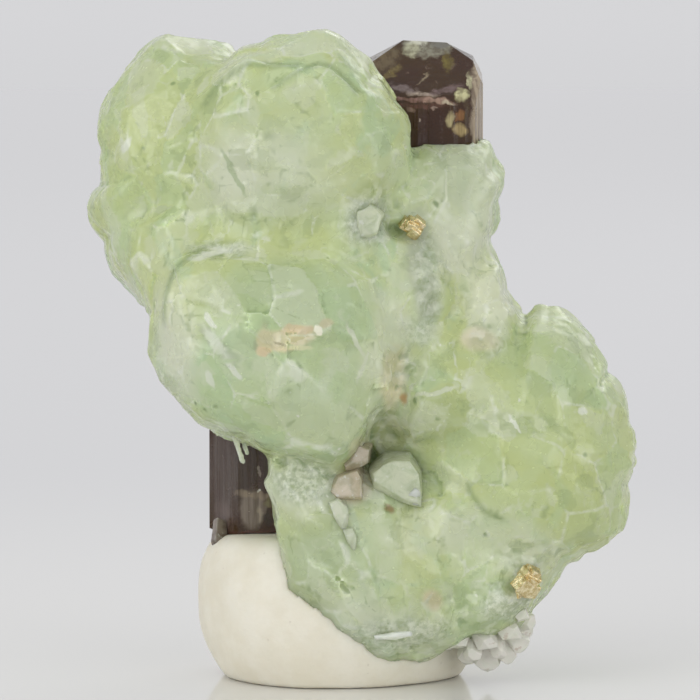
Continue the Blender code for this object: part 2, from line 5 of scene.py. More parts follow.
import bmesh
import bpy
import numpy as np
from mathutils import Matrix, Vector


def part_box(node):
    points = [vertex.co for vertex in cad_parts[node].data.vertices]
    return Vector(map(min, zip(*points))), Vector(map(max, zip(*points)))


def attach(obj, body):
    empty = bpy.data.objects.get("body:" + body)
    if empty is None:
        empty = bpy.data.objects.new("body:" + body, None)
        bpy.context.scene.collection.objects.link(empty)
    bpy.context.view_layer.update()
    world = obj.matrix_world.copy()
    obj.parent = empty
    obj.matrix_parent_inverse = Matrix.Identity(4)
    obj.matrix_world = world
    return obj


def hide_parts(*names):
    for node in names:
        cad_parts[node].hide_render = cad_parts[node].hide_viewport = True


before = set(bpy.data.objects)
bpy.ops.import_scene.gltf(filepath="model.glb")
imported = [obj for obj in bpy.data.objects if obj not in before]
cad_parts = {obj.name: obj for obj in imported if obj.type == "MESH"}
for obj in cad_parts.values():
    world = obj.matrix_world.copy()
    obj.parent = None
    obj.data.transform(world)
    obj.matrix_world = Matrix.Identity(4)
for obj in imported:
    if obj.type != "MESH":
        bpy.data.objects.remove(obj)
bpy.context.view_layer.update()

# Shapes are worked out in millimetres, in the row frame, and scaled to metres when placed.
MM = 0.001

# How fine each skin is, in millimetres
PREHNITE_VOXEL = 0.155
PUTTY_VOXEL = 0.22
SMALL_CRYSTAL_VOXEL = 0.07
PREHNITE_TRIANGLES = 190000

# How the balls of prehnite run into each other
LOBE_BLEND = 1.1
CRYSTAL_CLEARANCE = 0.05

# One rounded ball of prehnite each: centre X, Y, Z, how far it swells to the front (-Y) and
# back, and its edge seen from the front as X, Z. plates says how big and how tilted the flat
# faces are that its skin breaks into, and grain which way they are drawn out and how much.
# Some have ribs (count, height) or growth layers that end in a ledge: each ring is the height
# of the ledge, then the heading in degrees and the share of the way to the ball's edge where
# it runs, seen from the front.
LOBES = {
    "upper_left": {
        "centre": (-9.4, 1.5, 28.3), "front": 5.4, "back": 5.2, "facets": 46,
        "plates": (2.2, 0.06), "grain": ((-0.3, 0.1, 0.95), 2.4),
        "outline": [
            (-10.1, 34.9), (-7.6, 35.0), (-6.1, 34.8), (-4.8, 33.7), (-4.1, 31.3), (-4.2, 28.9),
            (-4.8, 25.8), (-5.9, 23.1), (-7.6, 21.0), (-10.3, 20.4), (-11.2, 21.2), (-12.5, 22.2),
            (-12.9, 23.3), (-12.9, 23.9), (-13.6, 24.8), (-13.8, 25.9), (-13.5, 26.7),
            (-13.1, 27.0), (-13.1, 28.9), (-13.3, 30.3), (-12.3, 32.4), (-10.7, 34.5),
        ],
    },
    "upper_middle": {
        "centre": (-1.9, -2.5, 29.6), "front": 4.8, "back": 4.2, "facets": 60,
        "plates": (2.0, 0.07), "grain": ((0.9, 0.1, 0.35), 1.5),
        "rings": [
            (0.34, [(164, 0.97), (159, 0.95), (135, 0.87), (115, 0.78), (97, 0.71), (88, 0.71)]),
            (0.26, [(124, 0.55), (120, 0.57), (93, 0.66), (65, 0.69), (47, 0.71), (40, 0.74)]),
        ],
        "outline": [
            (-5.4, 34.8), (-4.2, 34.9), (-2.1, 35.5), (-0.7, 35.9), (0.1, 35.6), (1.0, 34.8),
            (2.0, 33.4), (3.2, 31.9), (4.0, 30.6), (4.1, 29.2), (3.6, 27.3), (2.3, 25.3),
            (0.3, 24.1), (-2.1, 23.6), (-4.9, 23.9), (-6.8, 25.2), (-7.9, 27.4), (-8.1, 29.8),
            (-7.4, 31.9), (-6.4, 33.7),
        ],
    },
    "middle_left": {
        "centre": (-3.7, -4.5, 18.2), "front": 5.7, "back": 6.2, "facets": 64,
        "plates": (2.4, 0.07), "grain": ((0.5, 0.1, -0.8), 1.5),
        "rings": [(0.32, [(166, 0.86), (154, 0.88), (136, 0.93), (125, 0.95), (118, 0.96)])],
        "outline": [
            (-5.9, 24.4), (-2.7, 24.6), (0.1, 24.1), (2.0, 22.9), (3.1, 21.1), (3.5, 18.9),
            (3.1, 16.4), (2.5, 14.5), (1.3, 12.5), (0.1, 11.8), (-2.1, 12.3), (-3.7, 12.8),
            (-5.1, 13.35), (-6.95, 14.2), (-8.5, 15.5), (-9.75, 16.9), (-10.1, 18.9),
            (-10.05, 20.5), (-9.8, 21.9), (-8.9, 23.4), (-7.5, 24.1),
        ],
    },
    "right": {
        "centre": (9.7, -1.5, 13.0), "front": 5.9, "back": 6.4, "facets": 70,
        "ribs": (30, 0.20), "plates": (2.3, 0.055), "grain": ((0.8, 0.1, -0.6), 1.5),
        "rings": [(0.13, [(205, 0.44), (222, 0.46), (240, 0.45), (262, 0.44)])],
        "outline": [
            (10.7, 20.4), (11.6, 20.2), (13.1, 19.5), (14.5, 18.0), (14.8, 17.5), (14.7, 17.0),
            (15.2, 16.6), (15.6, 15.6), (15.8, 14.1), (16.2, 13.1), (16.1, 11.5), (15.8, 11.0),
            (15.9, 10.1), (15.6, 8.2), (14.4, 7.1), (12.9, 6.2), (11.3, 5.3), (8.9, 5.2),
            (6.1, 6.4), (4.5, 8.6), (3.6, 11.5), (3.4, 14.3), (4.1, 16.7), (5.8, 18.4),
            (7.8, 19.2), (9.4, 19.5), (10.2, 19.7),
        ],
    },
    "upper_right": {
        "centre": (6.4, 0.2, 25.5), "front": 4.0, "back": 4.6, "facets": 22,
        "plates": (1.9, 0.07), "grain": ((0.15, 0.1, 0.98), 2.2),
        "outline": [
            (4.2, 29.4), (5.6, 29.9), (7.1, 29.9), (8.3, 29.5), (8.6, 28.6), (9.0, 27.7),
            (8.7, 26.3), (8.15, 24.3), (8.05, 22.8), (7.8, 21.2), (6.4, 20.5), (5.0, 21.0),
            (4.0, 22.8), (3.6, 25.4), (3.8, 27.6),
        ],
    },
    "shoulder": {
        "centre": (7.6, -0.6, 20.5), "front": 4.4, "back": 4.6, "facets": 24,
        "plates": (1.9, 0.08), "grain": ((0.2, 0.1, 0.9), 1.4),
        "outline": [
            (6.1, 22.9), (7.8, 23.2), (8.7, 22.9), (9.1, 21.5), (9.4, 20.7), (9.9, 19.5),
            (10.1, 18.4), (8.3, 17.6), (6.4, 17.7), (5.0, 18.6), (4.6, 20.2), (5.1, 21.8),
        ],
    },
    "core": {
        "centre": (3.6, -1.5, 18.9), "front": 4.6, "back": 3.0, "facets": 40,
        "plates": (1.4, 0.12), "grain": ((0.4, 0.1, 0.9), 1.4),
        "outline": [
            (0.6, 23.6), (3.4, 25.4), (5.6, 24.4), (7.2, 21.4), (7.6, 18.1), (7.2, 14.2),
            (5.0, 11.4), (2.3, 10.9), (0.3, 13.7), (-0.2, 17.5), (-0.2, 20.8),
        ],
    },
    "lower_middle": {
        "centre": (0.9, -4.0, 7.0), "front": 4.4, "back": 4.0, "facets": 44,
        "ribs": (22, 0.16), "plates": (1.8, 0.10), "grain": ((0.35, 0.1, -0.93), 2.2),
        "outline": [
            (-3.7, 12.3), (-2.1, 12.7), (-0.2, 12.4), (2.3, 11.9), (4.7, 10.6), (6.2, 8.4),
            (6.9, 5.0), (6.5, 2.3), (5.0, 1.5), (3.4, 1.3), (1.2, 1.8), (-0.8, 3.0),
            (-2.1, 3.5), (-3.0, 4.6), (-3.4, 6.1), (-3.4, 7.8), (-3.7, 10.0), (-4.0, 11.1),
        ],
    },
    "lower_right": {
        "centre": (8.0, -2.5, 5.4), "front": 4.4, "back": 4.2, "facets": 30,
        "plates": (1.3, 0.11), "grain": ((0.5, 0.1, 0.8), 1.4),
        "outline": [
            (5.6, 7.6), (7.8, 8.4), (10.0, 7.9), (11.5, 6.6), (11.4, 5.2), (10.9, 4.4),
            (10.2, 3.7), (9.8, 3.0), (8.9, 2.6), (7.2, 2.4), (5.8, 2.4), (5.0, 3.8), (4.9, 5.7),
        ],
    },
    "knob": {
        "centre": (5.2, -5.4, 15.3), "front": 1.7, "back": 4.0, "facets": 14,
        "plates": (2.0, 0.03), "grain": ((1.0, 0.0, 0.3), 1.3),
        "outline": [
            (3.8, 15.4), (4.1, 16.4), (5.0, 16.8), (6.1, 16.6), (6.8, 15.8), (6.7, 14.7),
            (6.0, 14.1), (4.9, 13.9), (4.0, 14.4),
        ],
    },
    "back_right": {
        "centre": (8.6, 4.6, 13.6), "front": 6.0, "back": 5.0, "facets": 40,
        "plates": (2.1, 0.10), "grain": ((0.6, 0.1, 0.7), 1.6),
        "outline": [
            (7.6, 18.6), (10.6, 18.4), (13.2, 16.4), (14.0, 13.2), (12.8, 10.0), (10.2, 8.2),
            (7.0, 8.4), (4.6, 10.4), (3.8, 13.6), (5.0, 16.8),
        ],
    },
    "back_left": {
        "centre": (-7.4, 4.6, 21.6), "front": 5.0, "back": 3.8, "facets": 32,
        "plates": (2.0, 0.10), "grain": ((-0.3, 0.1, 0.9), 1.8),
        "outline": [
            (-7.2, 26.2), (-4.4, 25.2), (-3.0, 22.4), (-3.6, 19.2), (-6.0, 17.4), (-8.6, 17.8),
            (-10.0, 19.8), (-11.0, 22.6), (-10.0, 25.4),
        ],
    },
    "back_low": {
        "centre": (0.6, 5.4, 11.2), "front": 4.0, "back": 3.2, "facets": 26,
        "plates": (1.6, 0.11), "grain": ((0.6, 0.1, -0.7), 1.6),
        "outline": [
            (0.8, 14.4), (3.6, 13.8), (5.4, 11.6), (4.8, 9.2), (2.0, 8.4), (-1.2, 8.6),
            (-3.0, 10.4), (-2.4, 13.0),
        ],
    },
    "saddle_top": {
        "centre": (-2.4, -2.6, 24.4), "front": 4.3, "back": 3.0, "facets": 26,
        "plates": (1.5, 0.10), "grain": ((0.3, 0.1, 0.9), 1.6),
        "outline": [
            (-2.4, 27.6), (1.0, 27.2), (3.4, 25.6), (3.8, 24.0), (2.0, 22.2), (-1.0, 21.4),
            (-4.4, 21.6), (-7.2, 22.8), (-8.2, 24.6), (-7.0, 26.4), (-4.8, 27.4),
        ],
    },
    "saddle_left": {
        "centre": (-7.0, -0.8, 28.2), "front": 4.4, "back": 3.0, "facets": 26,
        "plates": (1.5, 0.10), "grain": ((0.3, 0.1, 0.9), 1.6),
        "outline": [
            (-6.8, 33.6), (-4.8, 32.0), (-4.2, 28.6), (-4.8, 25.4), (-6.6, 23.6), (-9.0, 24.4),
            (-10.2, 27.4), (-9.8, 30.8), (-8.6, 33.0),
        ],
    },
    "saddle_left_low": {
        "centre": (-8.4, -1.6, 23.4), "front": 4.2, "back": 3.6, "facets": 22,
        "plates": (1.5, 0.10), "grain": ((0.3, 0.1, 0.9), 1.6),
        "outline": [
            (-8.2, 26.6), (-5.6, 25.6), (-4.8, 23.0), (-6.0, 20.8), (-8.6, 20.2), (-10.8, 21.2),
            (-11.8, 23.2), (-10.8, 25.6),
        ],
    },
    "saddle_core": {
        "centre": (2.6, -2.8, 21.6), "front": 3.7, "back": 2.0, "facets": 26,
        "plates": (1.5, 0.10), "grain": ((0.3, 0.1, 0.9), 1.6),
        "outline": [
            (2.6, 25.4), (5.0, 24.6), (6.2, 22.0), (5.6, 19.0), (3.4, 17.4), (0.8, 18.0),
            (-0.8, 20.6), (-0.4, 23.8),
        ],
    },
    "saddle_notch": {
        "centre": (3.9, -1.4, 26.3), "front": 2.7, "back": 2.0, "facets": 18,
        "plates": (1.5, 0.06), "grain": ((0.3, 0.1, 0.9), 1.4),
        "outline": [
            (3.1, 28.0), (4.0, 28.5), (5.0, 28.4), (5.5, 26.6), (5.1, 24.6), (3.8, 24.0),
            (2.5, 24.8), (2.3, 26.7),
        ],
    },
    "saddle_right": {
        "centre": (5.8, -2.2, 17.2), "front": 4.0, "back": 3.0, "facets": 24,
        "plates": (1.5, 0.10), "grain": ((0.3, 0.1, 0.9), 1.6),
        "outline": [
            (5.8, 20.2), (8.4, 19.6), (9.6, 17.4), (8.8, 15.0), (6.2, 14.2), (3.8, 14.8),
            (2.8, 17.0), (3.6, 19.4),
        ],
    },
    "saddle_low": {
        "centre": (5.4, -3.2, 8.4), "front": 4.2, "back": 3.0, "facets": 26,
        "plates": (1.5, 0.10), "grain": ((0.3, 0.1, 0.9), 1.6),
        "outline": [
            (5.4, 11.4), (8.2, 11.0), (9.8, 8.6), (9.0, 6.2), (6.0, 5.2), (3.0, 5.8),
            (1.6, 8.0), (2.6, 10.6),
        ],
    },
}
FIRST_SEED = 11
FACET_SHARE = 0.85
SKIN_SCALE = 0.98
LEDGE_SHARE = 0.03          # of the way to the edge, over which a growth layer drops
FINER_PLATES = 0.42         # size of the finer plates that break up the large ones
PLATE_BAND = 0.7            # the plates are worked out this close to the skin, in mm
RING_LINE = 0.16            # half the width of the line of painted shade along a growth layer's ledge, in mm

# Hollows in the prehnite: centre X, Y, Z, radii, and how softly it runs out at its lip
HOLLOWS = [
    ((2.5, -7.5, 13.6), (1.2, 2.2, 1.4), 0.6),
    ((1.3, -9.0, 11.9), (1.0, 1.5, 0.6), 0.4),
    ((3.3, -5.2, 25.0), (0.8, 0.7, 0.6), 0.4),
    ((9.4, -7.0, 6.0), (0.7, 0.7, 0.8), 0.4),
]

# Small pits in the skin, darkened inside with painted shade: where, and how far each spreads
PITS = [
    ((-4.7, -6.9, 26.0), 0.34), ((-1.5, -7.7, 26.5), 0.36), ((-3.8, -7.4, 30.2), 0.28),
    ((-4.9, -7.1, 27.7), 0.18), ((-2.7, -10.2, 16.6), 0.17), ((3.6, -6.9, 15.8), 0.22),
    ((2.7, -7.4, 9.9), 0.17), ((0.9, -10.0, 14.9), 0.13), ((-6.6, -8.7, 15.6), 0.12),
    ((6.3, -7.4, 13.9), 0.13), ((9.4, -8.4, 11.7), 0.13), ((1.2, -7.6, 29.0), 0.15),
    ((2.2, -6.9, 31.2), 0.13), ((-10.6, -3.6, 29.4), 0.14), ((-12.0, -1.6, 25.6), 0.14),
    ((-0.2, -8.3, 5.9), 0.12), ((0.8, -8.2, 5.8), 0.10), ((10.2, -7.8, 10.6), 0.12),
    ((6.6, 8.6, 14.2), 0.25), ((-6.4, 8.0, 22.4), 0.22), ((-10.0, 6.4, 28.6), 0.20),
]

# Where the skin is a crust of small sharp chips: centre and radii, and the chips' size and tilt
CHIPPED_ZONES = [
    ((1.6, -5.5, 25.9), (1.3, 2.5, 2.0)),
    ((-2.0, -6.5, 11.6), (1.8, 2.5, 1.5)),
    ((-2.4, -10.6, 19.5), (2.0, 1.5, 0.5)),
    ((-6.4, -7.0, 24.0), (1.6, 2.5, 0.5)),
    ((2.6, -6.5, 12.5), (2.0, 3.0, 3.4)),
    ((4.9, -5.5, 22.5), (0.9, 2.0, 2.6)),
    ((3.1, -7.0, 17.6), (1.2, 2.5, 1.2)),
    ((8.2, -6.0, 19.0), (1.2, 2.5, 1.0)),
    ((7.0, -6.5, 4.6), (3.2, 2.5, 1.3)),
    ((10.3, -6.5, 7.4), (1.6, 2.0, 0.9)),
    ((3.5, -7.5, 3.0), (3.0, 2.5, 1.4)),
    ((-9.2, -5.0, 16.5), (1.0, 3.5, 1.4)),
    ((9.5, -7.5, 14.6), (2.4, 1.5, 0.7)),
    ((2.0, 7.5, 11.5), (3.0, 2.5, 2.0)),
    ((-5.5, 7.5, 19.0), (3.0, 2.5, 1.2)),
]
CHIP_SIZE = 0.62
CHIP_TILT = 0.20

# Chunky small crystals on the prehnite: outline as X, Z from the front, Y of back and front, the
# way the front faces, finish
BLOCK_CRYSTALS = {
    "hollow_block_crystal": (
        [(1.87, 11.9), (1.93, 11.1), (2.7, 10.6), (3.47, 10.38), (4.4, 10.15), (4.46, 10.98),
         (4.35, 11.82), (3.85, 12.55), (3.08, 12.55), (2.37, 12.35)],
        -4.5, -7.25, (0.12, -1.0, 0.25), "greenish",
    ),
    "hollow_block_tip": (
        [(3.63, 11.05), (3.55, 10.6), (3.93, 10.24), (4.42, 10.2), (4.40, 10.92), (4.02, 11.2)],
        -6.4, -7.42, (0.2, -1.0, 0.0), "white",
    ),
    "pinkish_stub_crystal": (
        [(-0.44, 10.91), (0.06, 10.47), (1.27, 10.36), (1.27, 11.63), (0.99, 12.07), (0.0, 11.68)],
        -5.5, -7.5, (-0.2, -1.0, 0.30), "pinkish",
    ),
    "pinkish_chip_crystal": (
        [(0.28, 12.5), (0.39, 11.96), (1.1, 12.23), (1.54, 12.5), (1.6, 13.12), (0.99, 13.45)],
        -4.5, -6.95, (0.3, -1.0, 0.1), "pinkish",
    ),
    "milky_stub_crystal": (
        [(-0.5, 10.37), (-0.28, 9.54), (0.06, 8.92), (0.55, 9.03), (0.61, 9.59), (0.39, 10.2),
         (-0.06, 10.59)],
        -6.5, -8.1, (0.0, -1.0, 0.25), "milky",
    ),
    "milky_lower_crystal": (
        [(0.15, 9.0), (0.5, 8.2), (0.85, 7.5), (1.15, 7.7), (1.1, 8.5), (0.75, 9.1)],
        -6.5, -8.35, (0.1, -1.0, 0.15), "greenish",
    ),
    "cleft_grey_crystal": (
        [(0.85, 24.9), (1.3, 24.5), (2.1, 24.8), (2.3, 25.8), (1.7, 26.4), (1.0, 26.1)],
        -4.0, -6.55, (0.2, -1.0, 0.2), "greenish",
    ),
}
# A chip that hangs from the tanzanite's lower left corner: root, tip, radius
FOOT_CHIP = ((-6.5, -0.6, 8.6), (-6.62, -1.3, 7.25), 0.42)
BLOCK_TAPER = 0.22
BLOCK_BEVEL = 0.16

# Slender ones: root, tip, radius, thickness share, sides, finish
ROD_CRYSTALS = {
    "hanging_blade_crystal": ((-6.0, -5.6, 15.0), (-5.15, -6.2, 12.35), 0.21, 0.7, 6, "milky"),
    "hanging_splinter_crystal": ((-5.5, -5.5, 14.6), (-4.95, -5.9, 12.75), 0.12, 0.7, 5, "greenish"),
    "white_needle_crystal": ((1.95, -7.5, 3.0), (4.05, -8.3, 3.4), 0.26, 0.7, 6, "white"),
}
FINISHES = {
    "greenish": ((0.72, 0.77, 0.56), (0.56, 0.63, 0.42)),
    "pinkish": ((0.62, 0.53, 0.39), (0.46, 0.42, 0.28)),
    "milky": ((0.78, 0.81, 0.64), (0.66, 0.72, 0.52)),
    "white": ((0.88, 0.90, 0.84), (0.72, 0.78, 0.68)),
    "smoky": ((0.30, 0.25, 0.20), (0.17, 0.13, 0.10)),
}

# The prism's section as X, Y, going round from the front left corner
PRISM_SECTION = [
    (-5.75, -1.35), (-5.55, -1.6), (1.6, -1.6), (1.8, -1.45), (6.9, -1.5), (7.45, -0.95),
    (7.7, -0.2), (7.9, 0.5), (7.9, 3.6), (7.2, 4.9), (5.9, 5.5), (3.1, 5.75), (2.9, 5.5),
    (0.4, 5.7), (0.1, 5.9), (-4.2, 5.8), (-5.6, 5.3), (-6.9, 4.0), (-7.15, 2.9), (-7.15, 0.3),
]
CROWN_FACES = [
    ((4.0, -1.4, 31.95), (0.02, -0.85, 0.53)),
    ((6.9, -1.4, 31.5), (0.62, -0.70, 0.35)),
    ((4.6, 1.5, 34.95), (0.0, -0.10, 1.0)),
    ((4.0, -1.6, 31.9), (0.03, -0.62, 0.78)),
    ((3.5, 0.0, 34.8), (-0.52, -0.05, 0.86)),
    ((6.2, 0.0, 34.45), (0.50, -0.08, 0.86)),
    ((7.35, 0.0, 33.75), (0.90, -0.05, 0.42)),
    ((3.0, 5.9, 32.2), (0.05, 0.60, 0.80)),
]
FOOT_FACES = [
    ((-6.4, -1.0, 7.95), (-0.38, -0.10, -0.92)),
    ((-3.0, 0.0, 7.9), (0.04, -0.12, -0.99)),
    ((3.0, 3.0, 7.75), (0.22, 0.25, -0.94)),
]

PYRITES = {
    "pyrite_grain_upper": ((3.9, -4.9, 25.2), 1.05, (24, 31, 12)),
    "pyrite_grain_lower": ((10.2, -6.3, 6.0), 1.35, (38, 17, 40)),
}

# The druse's crystals: root, tip, radius
DRUSE_CRYSTALS = [
    ((8.0, -3.0, 3.6), (8.15, -3.7, 0.62), 0.85),
    ((7.3, -3.2, 3.4), (6.95, -3.9, 1.05), 0.55),
    ((8.6, -3.0, 3.6), (9.3, -3.8, 1.05), 0.55),
    ((8.6, -3.2, 3.6), (10.15, -3.7, 1.75), 0.70),
    ((8.9, -3.3, 4.0), (10.75, -3.9, 3.2), 0.55),
    ((8.8, -3.3, 3.8), (10.5, -3.4, 2.5), 0.50),
    ((8.0, -3.6, 3.8), (7.9, -5.7, 2.2), 0.70),
    ((7.2, -3.6, 3.6), (6.2, -5.5, 2.35), 0.62),
    ((8.8, -3.6, 3.9), (9.5, -5.5, 2.8), 0.62),
    ((7.6, -3.6, 3.5), (7.1, -5.2, 1.5), 0.50),
    ((8.4, -3.6, 3.5), (8.8, -5.1, 1.6), 0.52),
    ((7.0, -3.4, 3.5), (5.6, -4.5, 2.1), 0.55),
    ((6.8, -3.6, 3.8), (5.3, -5.3, 2.9), 0.42),
    ((8.0, -3.9, 4.2), (8.6, -5.9, 3.7), 0.55),
    ((9.2, -3.9, 4.4), (10.2, -5.4, 3.9), 0.48),
    ((8.2, -2.8, 3.4), (8.9, -1.6, 1.6), 0.65),
    ((7.3, -2.8, 3.4), (6.9, -1.8, 1.7), 0.55),
    ((8.0, -2.9, 3.2), (7.9, -2.4, 1.1), 0.60),
    ((9.0, -3.0, 3.6), (10.0, -2.3, 2.6), 0.50),
]

PUTTY_WIDTH = 15.5
PUTTY_DEPTH = 13.8
PUTTY_HEIGHT = 8.0          # once its top is pressed flat
PUTTY_BALL_HEIGHT = 9.95    # from its foot, before its top was pressed flat
PUTTY_FOOT_WIDTH = 12.95
PUTTY_LEAN = -0.3
PUTTY_FULLNESS = 2.4        # 2 gives a ball, more gives a boxier lump
PUTTY_DENT_SHARE = 0.035
PRESSED_LOBES = ("lower_middle", "lower_right", "back_low", "saddle_low", "right")
PUTTY_CONTACT = 0.18        # the putty is pressed up to the stone, this far past its skin's low spots


# Noise and directions

def waves(points, size, seed, count=14):
    """Smooth noise at the points, about -1 to 1, with bumps about size millimetres across."""
    rng = np.random.default_rng(seed)
    heading = rng.normal(size=(count, 3))
    heading /= np.linalg.norm(heading, axis=1, keepdims=True)
    rate = 2 * math.pi / size * rng.uniform(0.35, 1.0, count)
    phase = rng.uniform(0, 2 * math.pi, count)
    total = np.zeros(points.shape[:-1], dtype=np.float32)
    for way, speed, start in zip(heading.astype(np.float32), rate, phase):
        total += np.sin(points @ (way * np.float32(speed)) + np.float32(start))
    return total * np.float32(1.4 / math.sqrt(count) / 1.6)


def sphere_directions(count, seed):
    """count unit vectors spread evenly over a sphere, each nudged a little."""
    rng = np.random.default_rng(seed)
    golden = math.pi * (3 - math.sqrt(5))
    height = 1 - 2 * (np.arange(count) + 0.5) / count
    turn = golden * np.arange(count) + rng.uniform(0, 2 * math.pi)
    ring = np.sqrt(1 - height**2)
    points = np.column_stack((ring * np.cos(turn), ring * np.sin(turn), height))
    points += rng.normal(0, 0.55 / math.sqrt(count), points.shape)
    return points / np.linalg.norm(points, axis=1, keepdims=True)


def unit(vector):
    vector = np.array(vector, dtype=float)
    return vector / np.linalg.norm(vector)


def smooth_step(value, low, high):
    share = np.clip((value - low) / (high - low), 0, 1)
    return share * share * (3 - 2 * share)


# The skin of one ball, as a table of radius by direction

TABLE_POLAR = 241
TABLE_HEADING = 480


def facet_factor(count, seed, directions):
    normals = sphere_directions(count, seed)
    rng = np.random.default_rng(seed + 1000)
    rise = rng.uniform(0.96, 1.04, count)
    flat = np.min(rise / np.maximum(directions @ normals.T, 0.05), axis=1)
    return SKIN_SCALE * flat**FACET_SHARE


def ring_lines(lobe, points):
    """1 at points of the front where a growth layer ends, fading out just beside it."""
    offset = points - np.array(lobe["centre"], dtype=np.float32)
    headings = np.arctan2(offset[:, 2], offset[:, 0])
    outline = np.array(lobe["outline"]) - np.array(lobe["centre"])[[0, 2]]
    angles = np.arctan2(outline[:, 1], outline[:, 0])
    order = np.argsort(angles)
    edge = np.interp(headings, angles[order], np.hypot(*outline[order].T), period=2 * math.pi)
    beyond = (np.hypot(offset[:, 0], offset[:, 2]) / edge)
    degrees = np.degrees(headings) % 360
    total = np.zeros(len(points))
    for _, path in lobe.get("rings", []):
        ends, places = np.array(sorted(path)).T
        place = np.interp(degrees, ends, places) + LEDGE_SHARE
        window = smooth_step(degrees, ends[0], ends[0] + 8) * smooth_step(-degrees, -ends[-1], 8 - ends[-1])
        total = np.maximum(total, window * np.exp(-(((beyond - place) * edge / RING_LINE) ** 2)))
    return np.where(offset[:, 1] < 0, total, 0)


def ring_rise(rings, shares, headings, directions):
    """Growth layers on the front: the skin dishes in towards each ledge and drops off past it."""
    degrees = np.degrees(headings) % 360
    total = np.zeros(len(directions))
    for height, path in rings:
        ends, places = np.array(sorted(path)).T
        place = np.interp(degrees, ends, places)
        window = smooth_step(degrees, ends[0], ends[0] + 8) * smooth_step(-degrees, -ends[-1], 8 - ends[-1])
        crest = np.clip(shares / place, 0, 1) ** 4
        drop = 1 - smooth_step(shares, place, place + LEDGE_SHARE)
        total += np.where(directions[:, 1] < 0, height * window * crest * drop, 0)
    return total


def skin_table(lobe, seed):
    polar = np.linspace(0, math.pi, TABLE_POLAR)
    heading = np.linspace(-math.pi, math.pi, TABLE_HEADING, endpoint=False)
    polar_grid, heading_grid = (part.ravel() for part in np.meshgrid(polar, heading, indexing="ij"))
    across = np.sin(polar_grid)
    directions = np.column_stack(
        (across * np.cos(heading_grid), -np.cos(polar_grid), across * np.sin(heading_grid))
    )
    centre = np.array(lobe["centre"])
    outline = np.array(lobe["outline"]) - centre[[0, 2]]
    angles = np.arctan2(outline[:, 1], outline[:, 0])
    order = np.argsort(angles)
    spokes = np.hypot(outline[:, 0], outline[:, 1])
    edge = np.interp(heading_grid, angles[order], spokes[order], period=2 * math.pi)
    depth = np.where(directions[:, 1] < 0, lobe["front"], lobe["back"])
    fullness = 2.3
    smooth = ((across / edge) ** fullness + (abs(directions[:, 1]) / depth) ** fullness) ** (-1 / fullness)
    radius = smooth * facet_factor(lobe["facets"], seed, directions)
    radius += ring_rise(lobe.get("rings", []), across * smooth / edge, heading_grid, directions)
    count, height = lobe.get("ribs", (0, 0.0))
    sway = 2.2 * np.sin(3 * heading_grid + seed) + 1.6 * np.sin(5 * heading_grid)
    depth_share = 0.55 + 0.45 * np.sin(7 * heading_grid + 2 * seed)
    radius += height * depth_share * across**4 * (np.abs(np.sin(0.5 * count * heading_grid + sway)) - 1)
    return radius.reshape(TABLE_POLAR, TABLE_HEADING).astype(np.float32)


@functools.lru_cache(maxsize=None)
def ball_table(number):
    """The skin table of the ball with this number in LOBES."""
    return skin_table(list(LOBES.values())[number], FIRST_SEED + number)


def ball_field(points, number):
    """How far the points lie outside one ball's skin, before it breaks into plates."""
    lobe = list(LOBES.values())[number]
    offset = points - np.array(lobe["centre"], dtype=np.float32)
    distance = np.linalg.norm(offset, axis=-1)
    return distance - skin_radius(ball_table(number), offset, distance)


def skin_radius(table, offset, distance):
    """The table's radius for each offset from the ball's centre."""
    polar = np.arccos(np.clip(-offset[..., 1] / np.maximum(distance, 1e-6), -1, 1))
    row = polar * ((TABLE_POLAR - 1) / math.pi)
    column = (np.arctan2(offset[..., 2], offset[..., 0]) + math.pi) * (TABLE_HEADING / (2 * math.pi))
    row_low = np.clip(row.astype(np.int32), 0, TABLE_POLAR - 2)
    column_low = column.astype(np.int32)
    down, right = row - row_low, column - column_low
    column_low %= TABLE_HEADING
    column_high = (column_low + 1) % TABLE_HEADING
    upper = table[row_low, column_low] * (1 - right) + table[row_low, column_high] * right
    lower = table[row_low + 1, column_low] * (1 - right) + table[row_low + 1, column_high] * right
    return upper * (1 - down) + lower * down


# The plates that a skin is broken into

RANDOM_SPAN = 24
RANDOM_VALUES = np.random.default_rng(77).random((RANDOM_SPAN, RANDOM_SPAN, RANDOM_SPAN, 8), dtype=np.float32)


def broken_plates(points, size, tilt, seed):
    """Space broken into cells about size across, each with a flat face tilted its own way.

    Gives, for each point, how far its cell lifts a skin there, the cell's own tone from 0 to 1
    and how far the next cell is.
    """
    shift = np.array((seed * 5, seed * 7, seed * 11)) % RANDOM_SPAN
    home = np.floor(points / size).astype(np.int32)
    nearest = np.full(len(points), 1e9, dtype=np.float32)
    second = nearest.copy()
    rise = np.zeros(len(points), dtype=np.float32)
    tone = np.zeros(len(points), dtype=np.float32)
    for step in itertools.product((-1, 0, 1), repeat=3):
        cell = home + np.array(step, dtype=np.int32)
        i, j, k = ((cell + shift) % RANDOM_SPAN).T
        values = RANDOM_VALUES[i, j, k]
        offset = points - (cell + 0.15 + 0.7 * values[:, :3]) * np.float32(size)
        away = np.einsum("ij,ij->i", offset, offset)
        closer = away < nearest
        second = np.where(closer, nearest, np.minimum(second, away))
        nearest = np.where(closer, away, nearest)
        lift = np.einsum("ij,ij->i", 2 * values[:, 3:6] - 1, offset) * tilt + (values[:, 6] - 0.5) * 0.4 * tilt * size
        rise = np.where(closer, lift, rise)
        tone = np.where(closer, values[:, 7], tone)
    return rise.astype(np.float32), tone, np.sqrt(second) - np.sqrt(nearest)


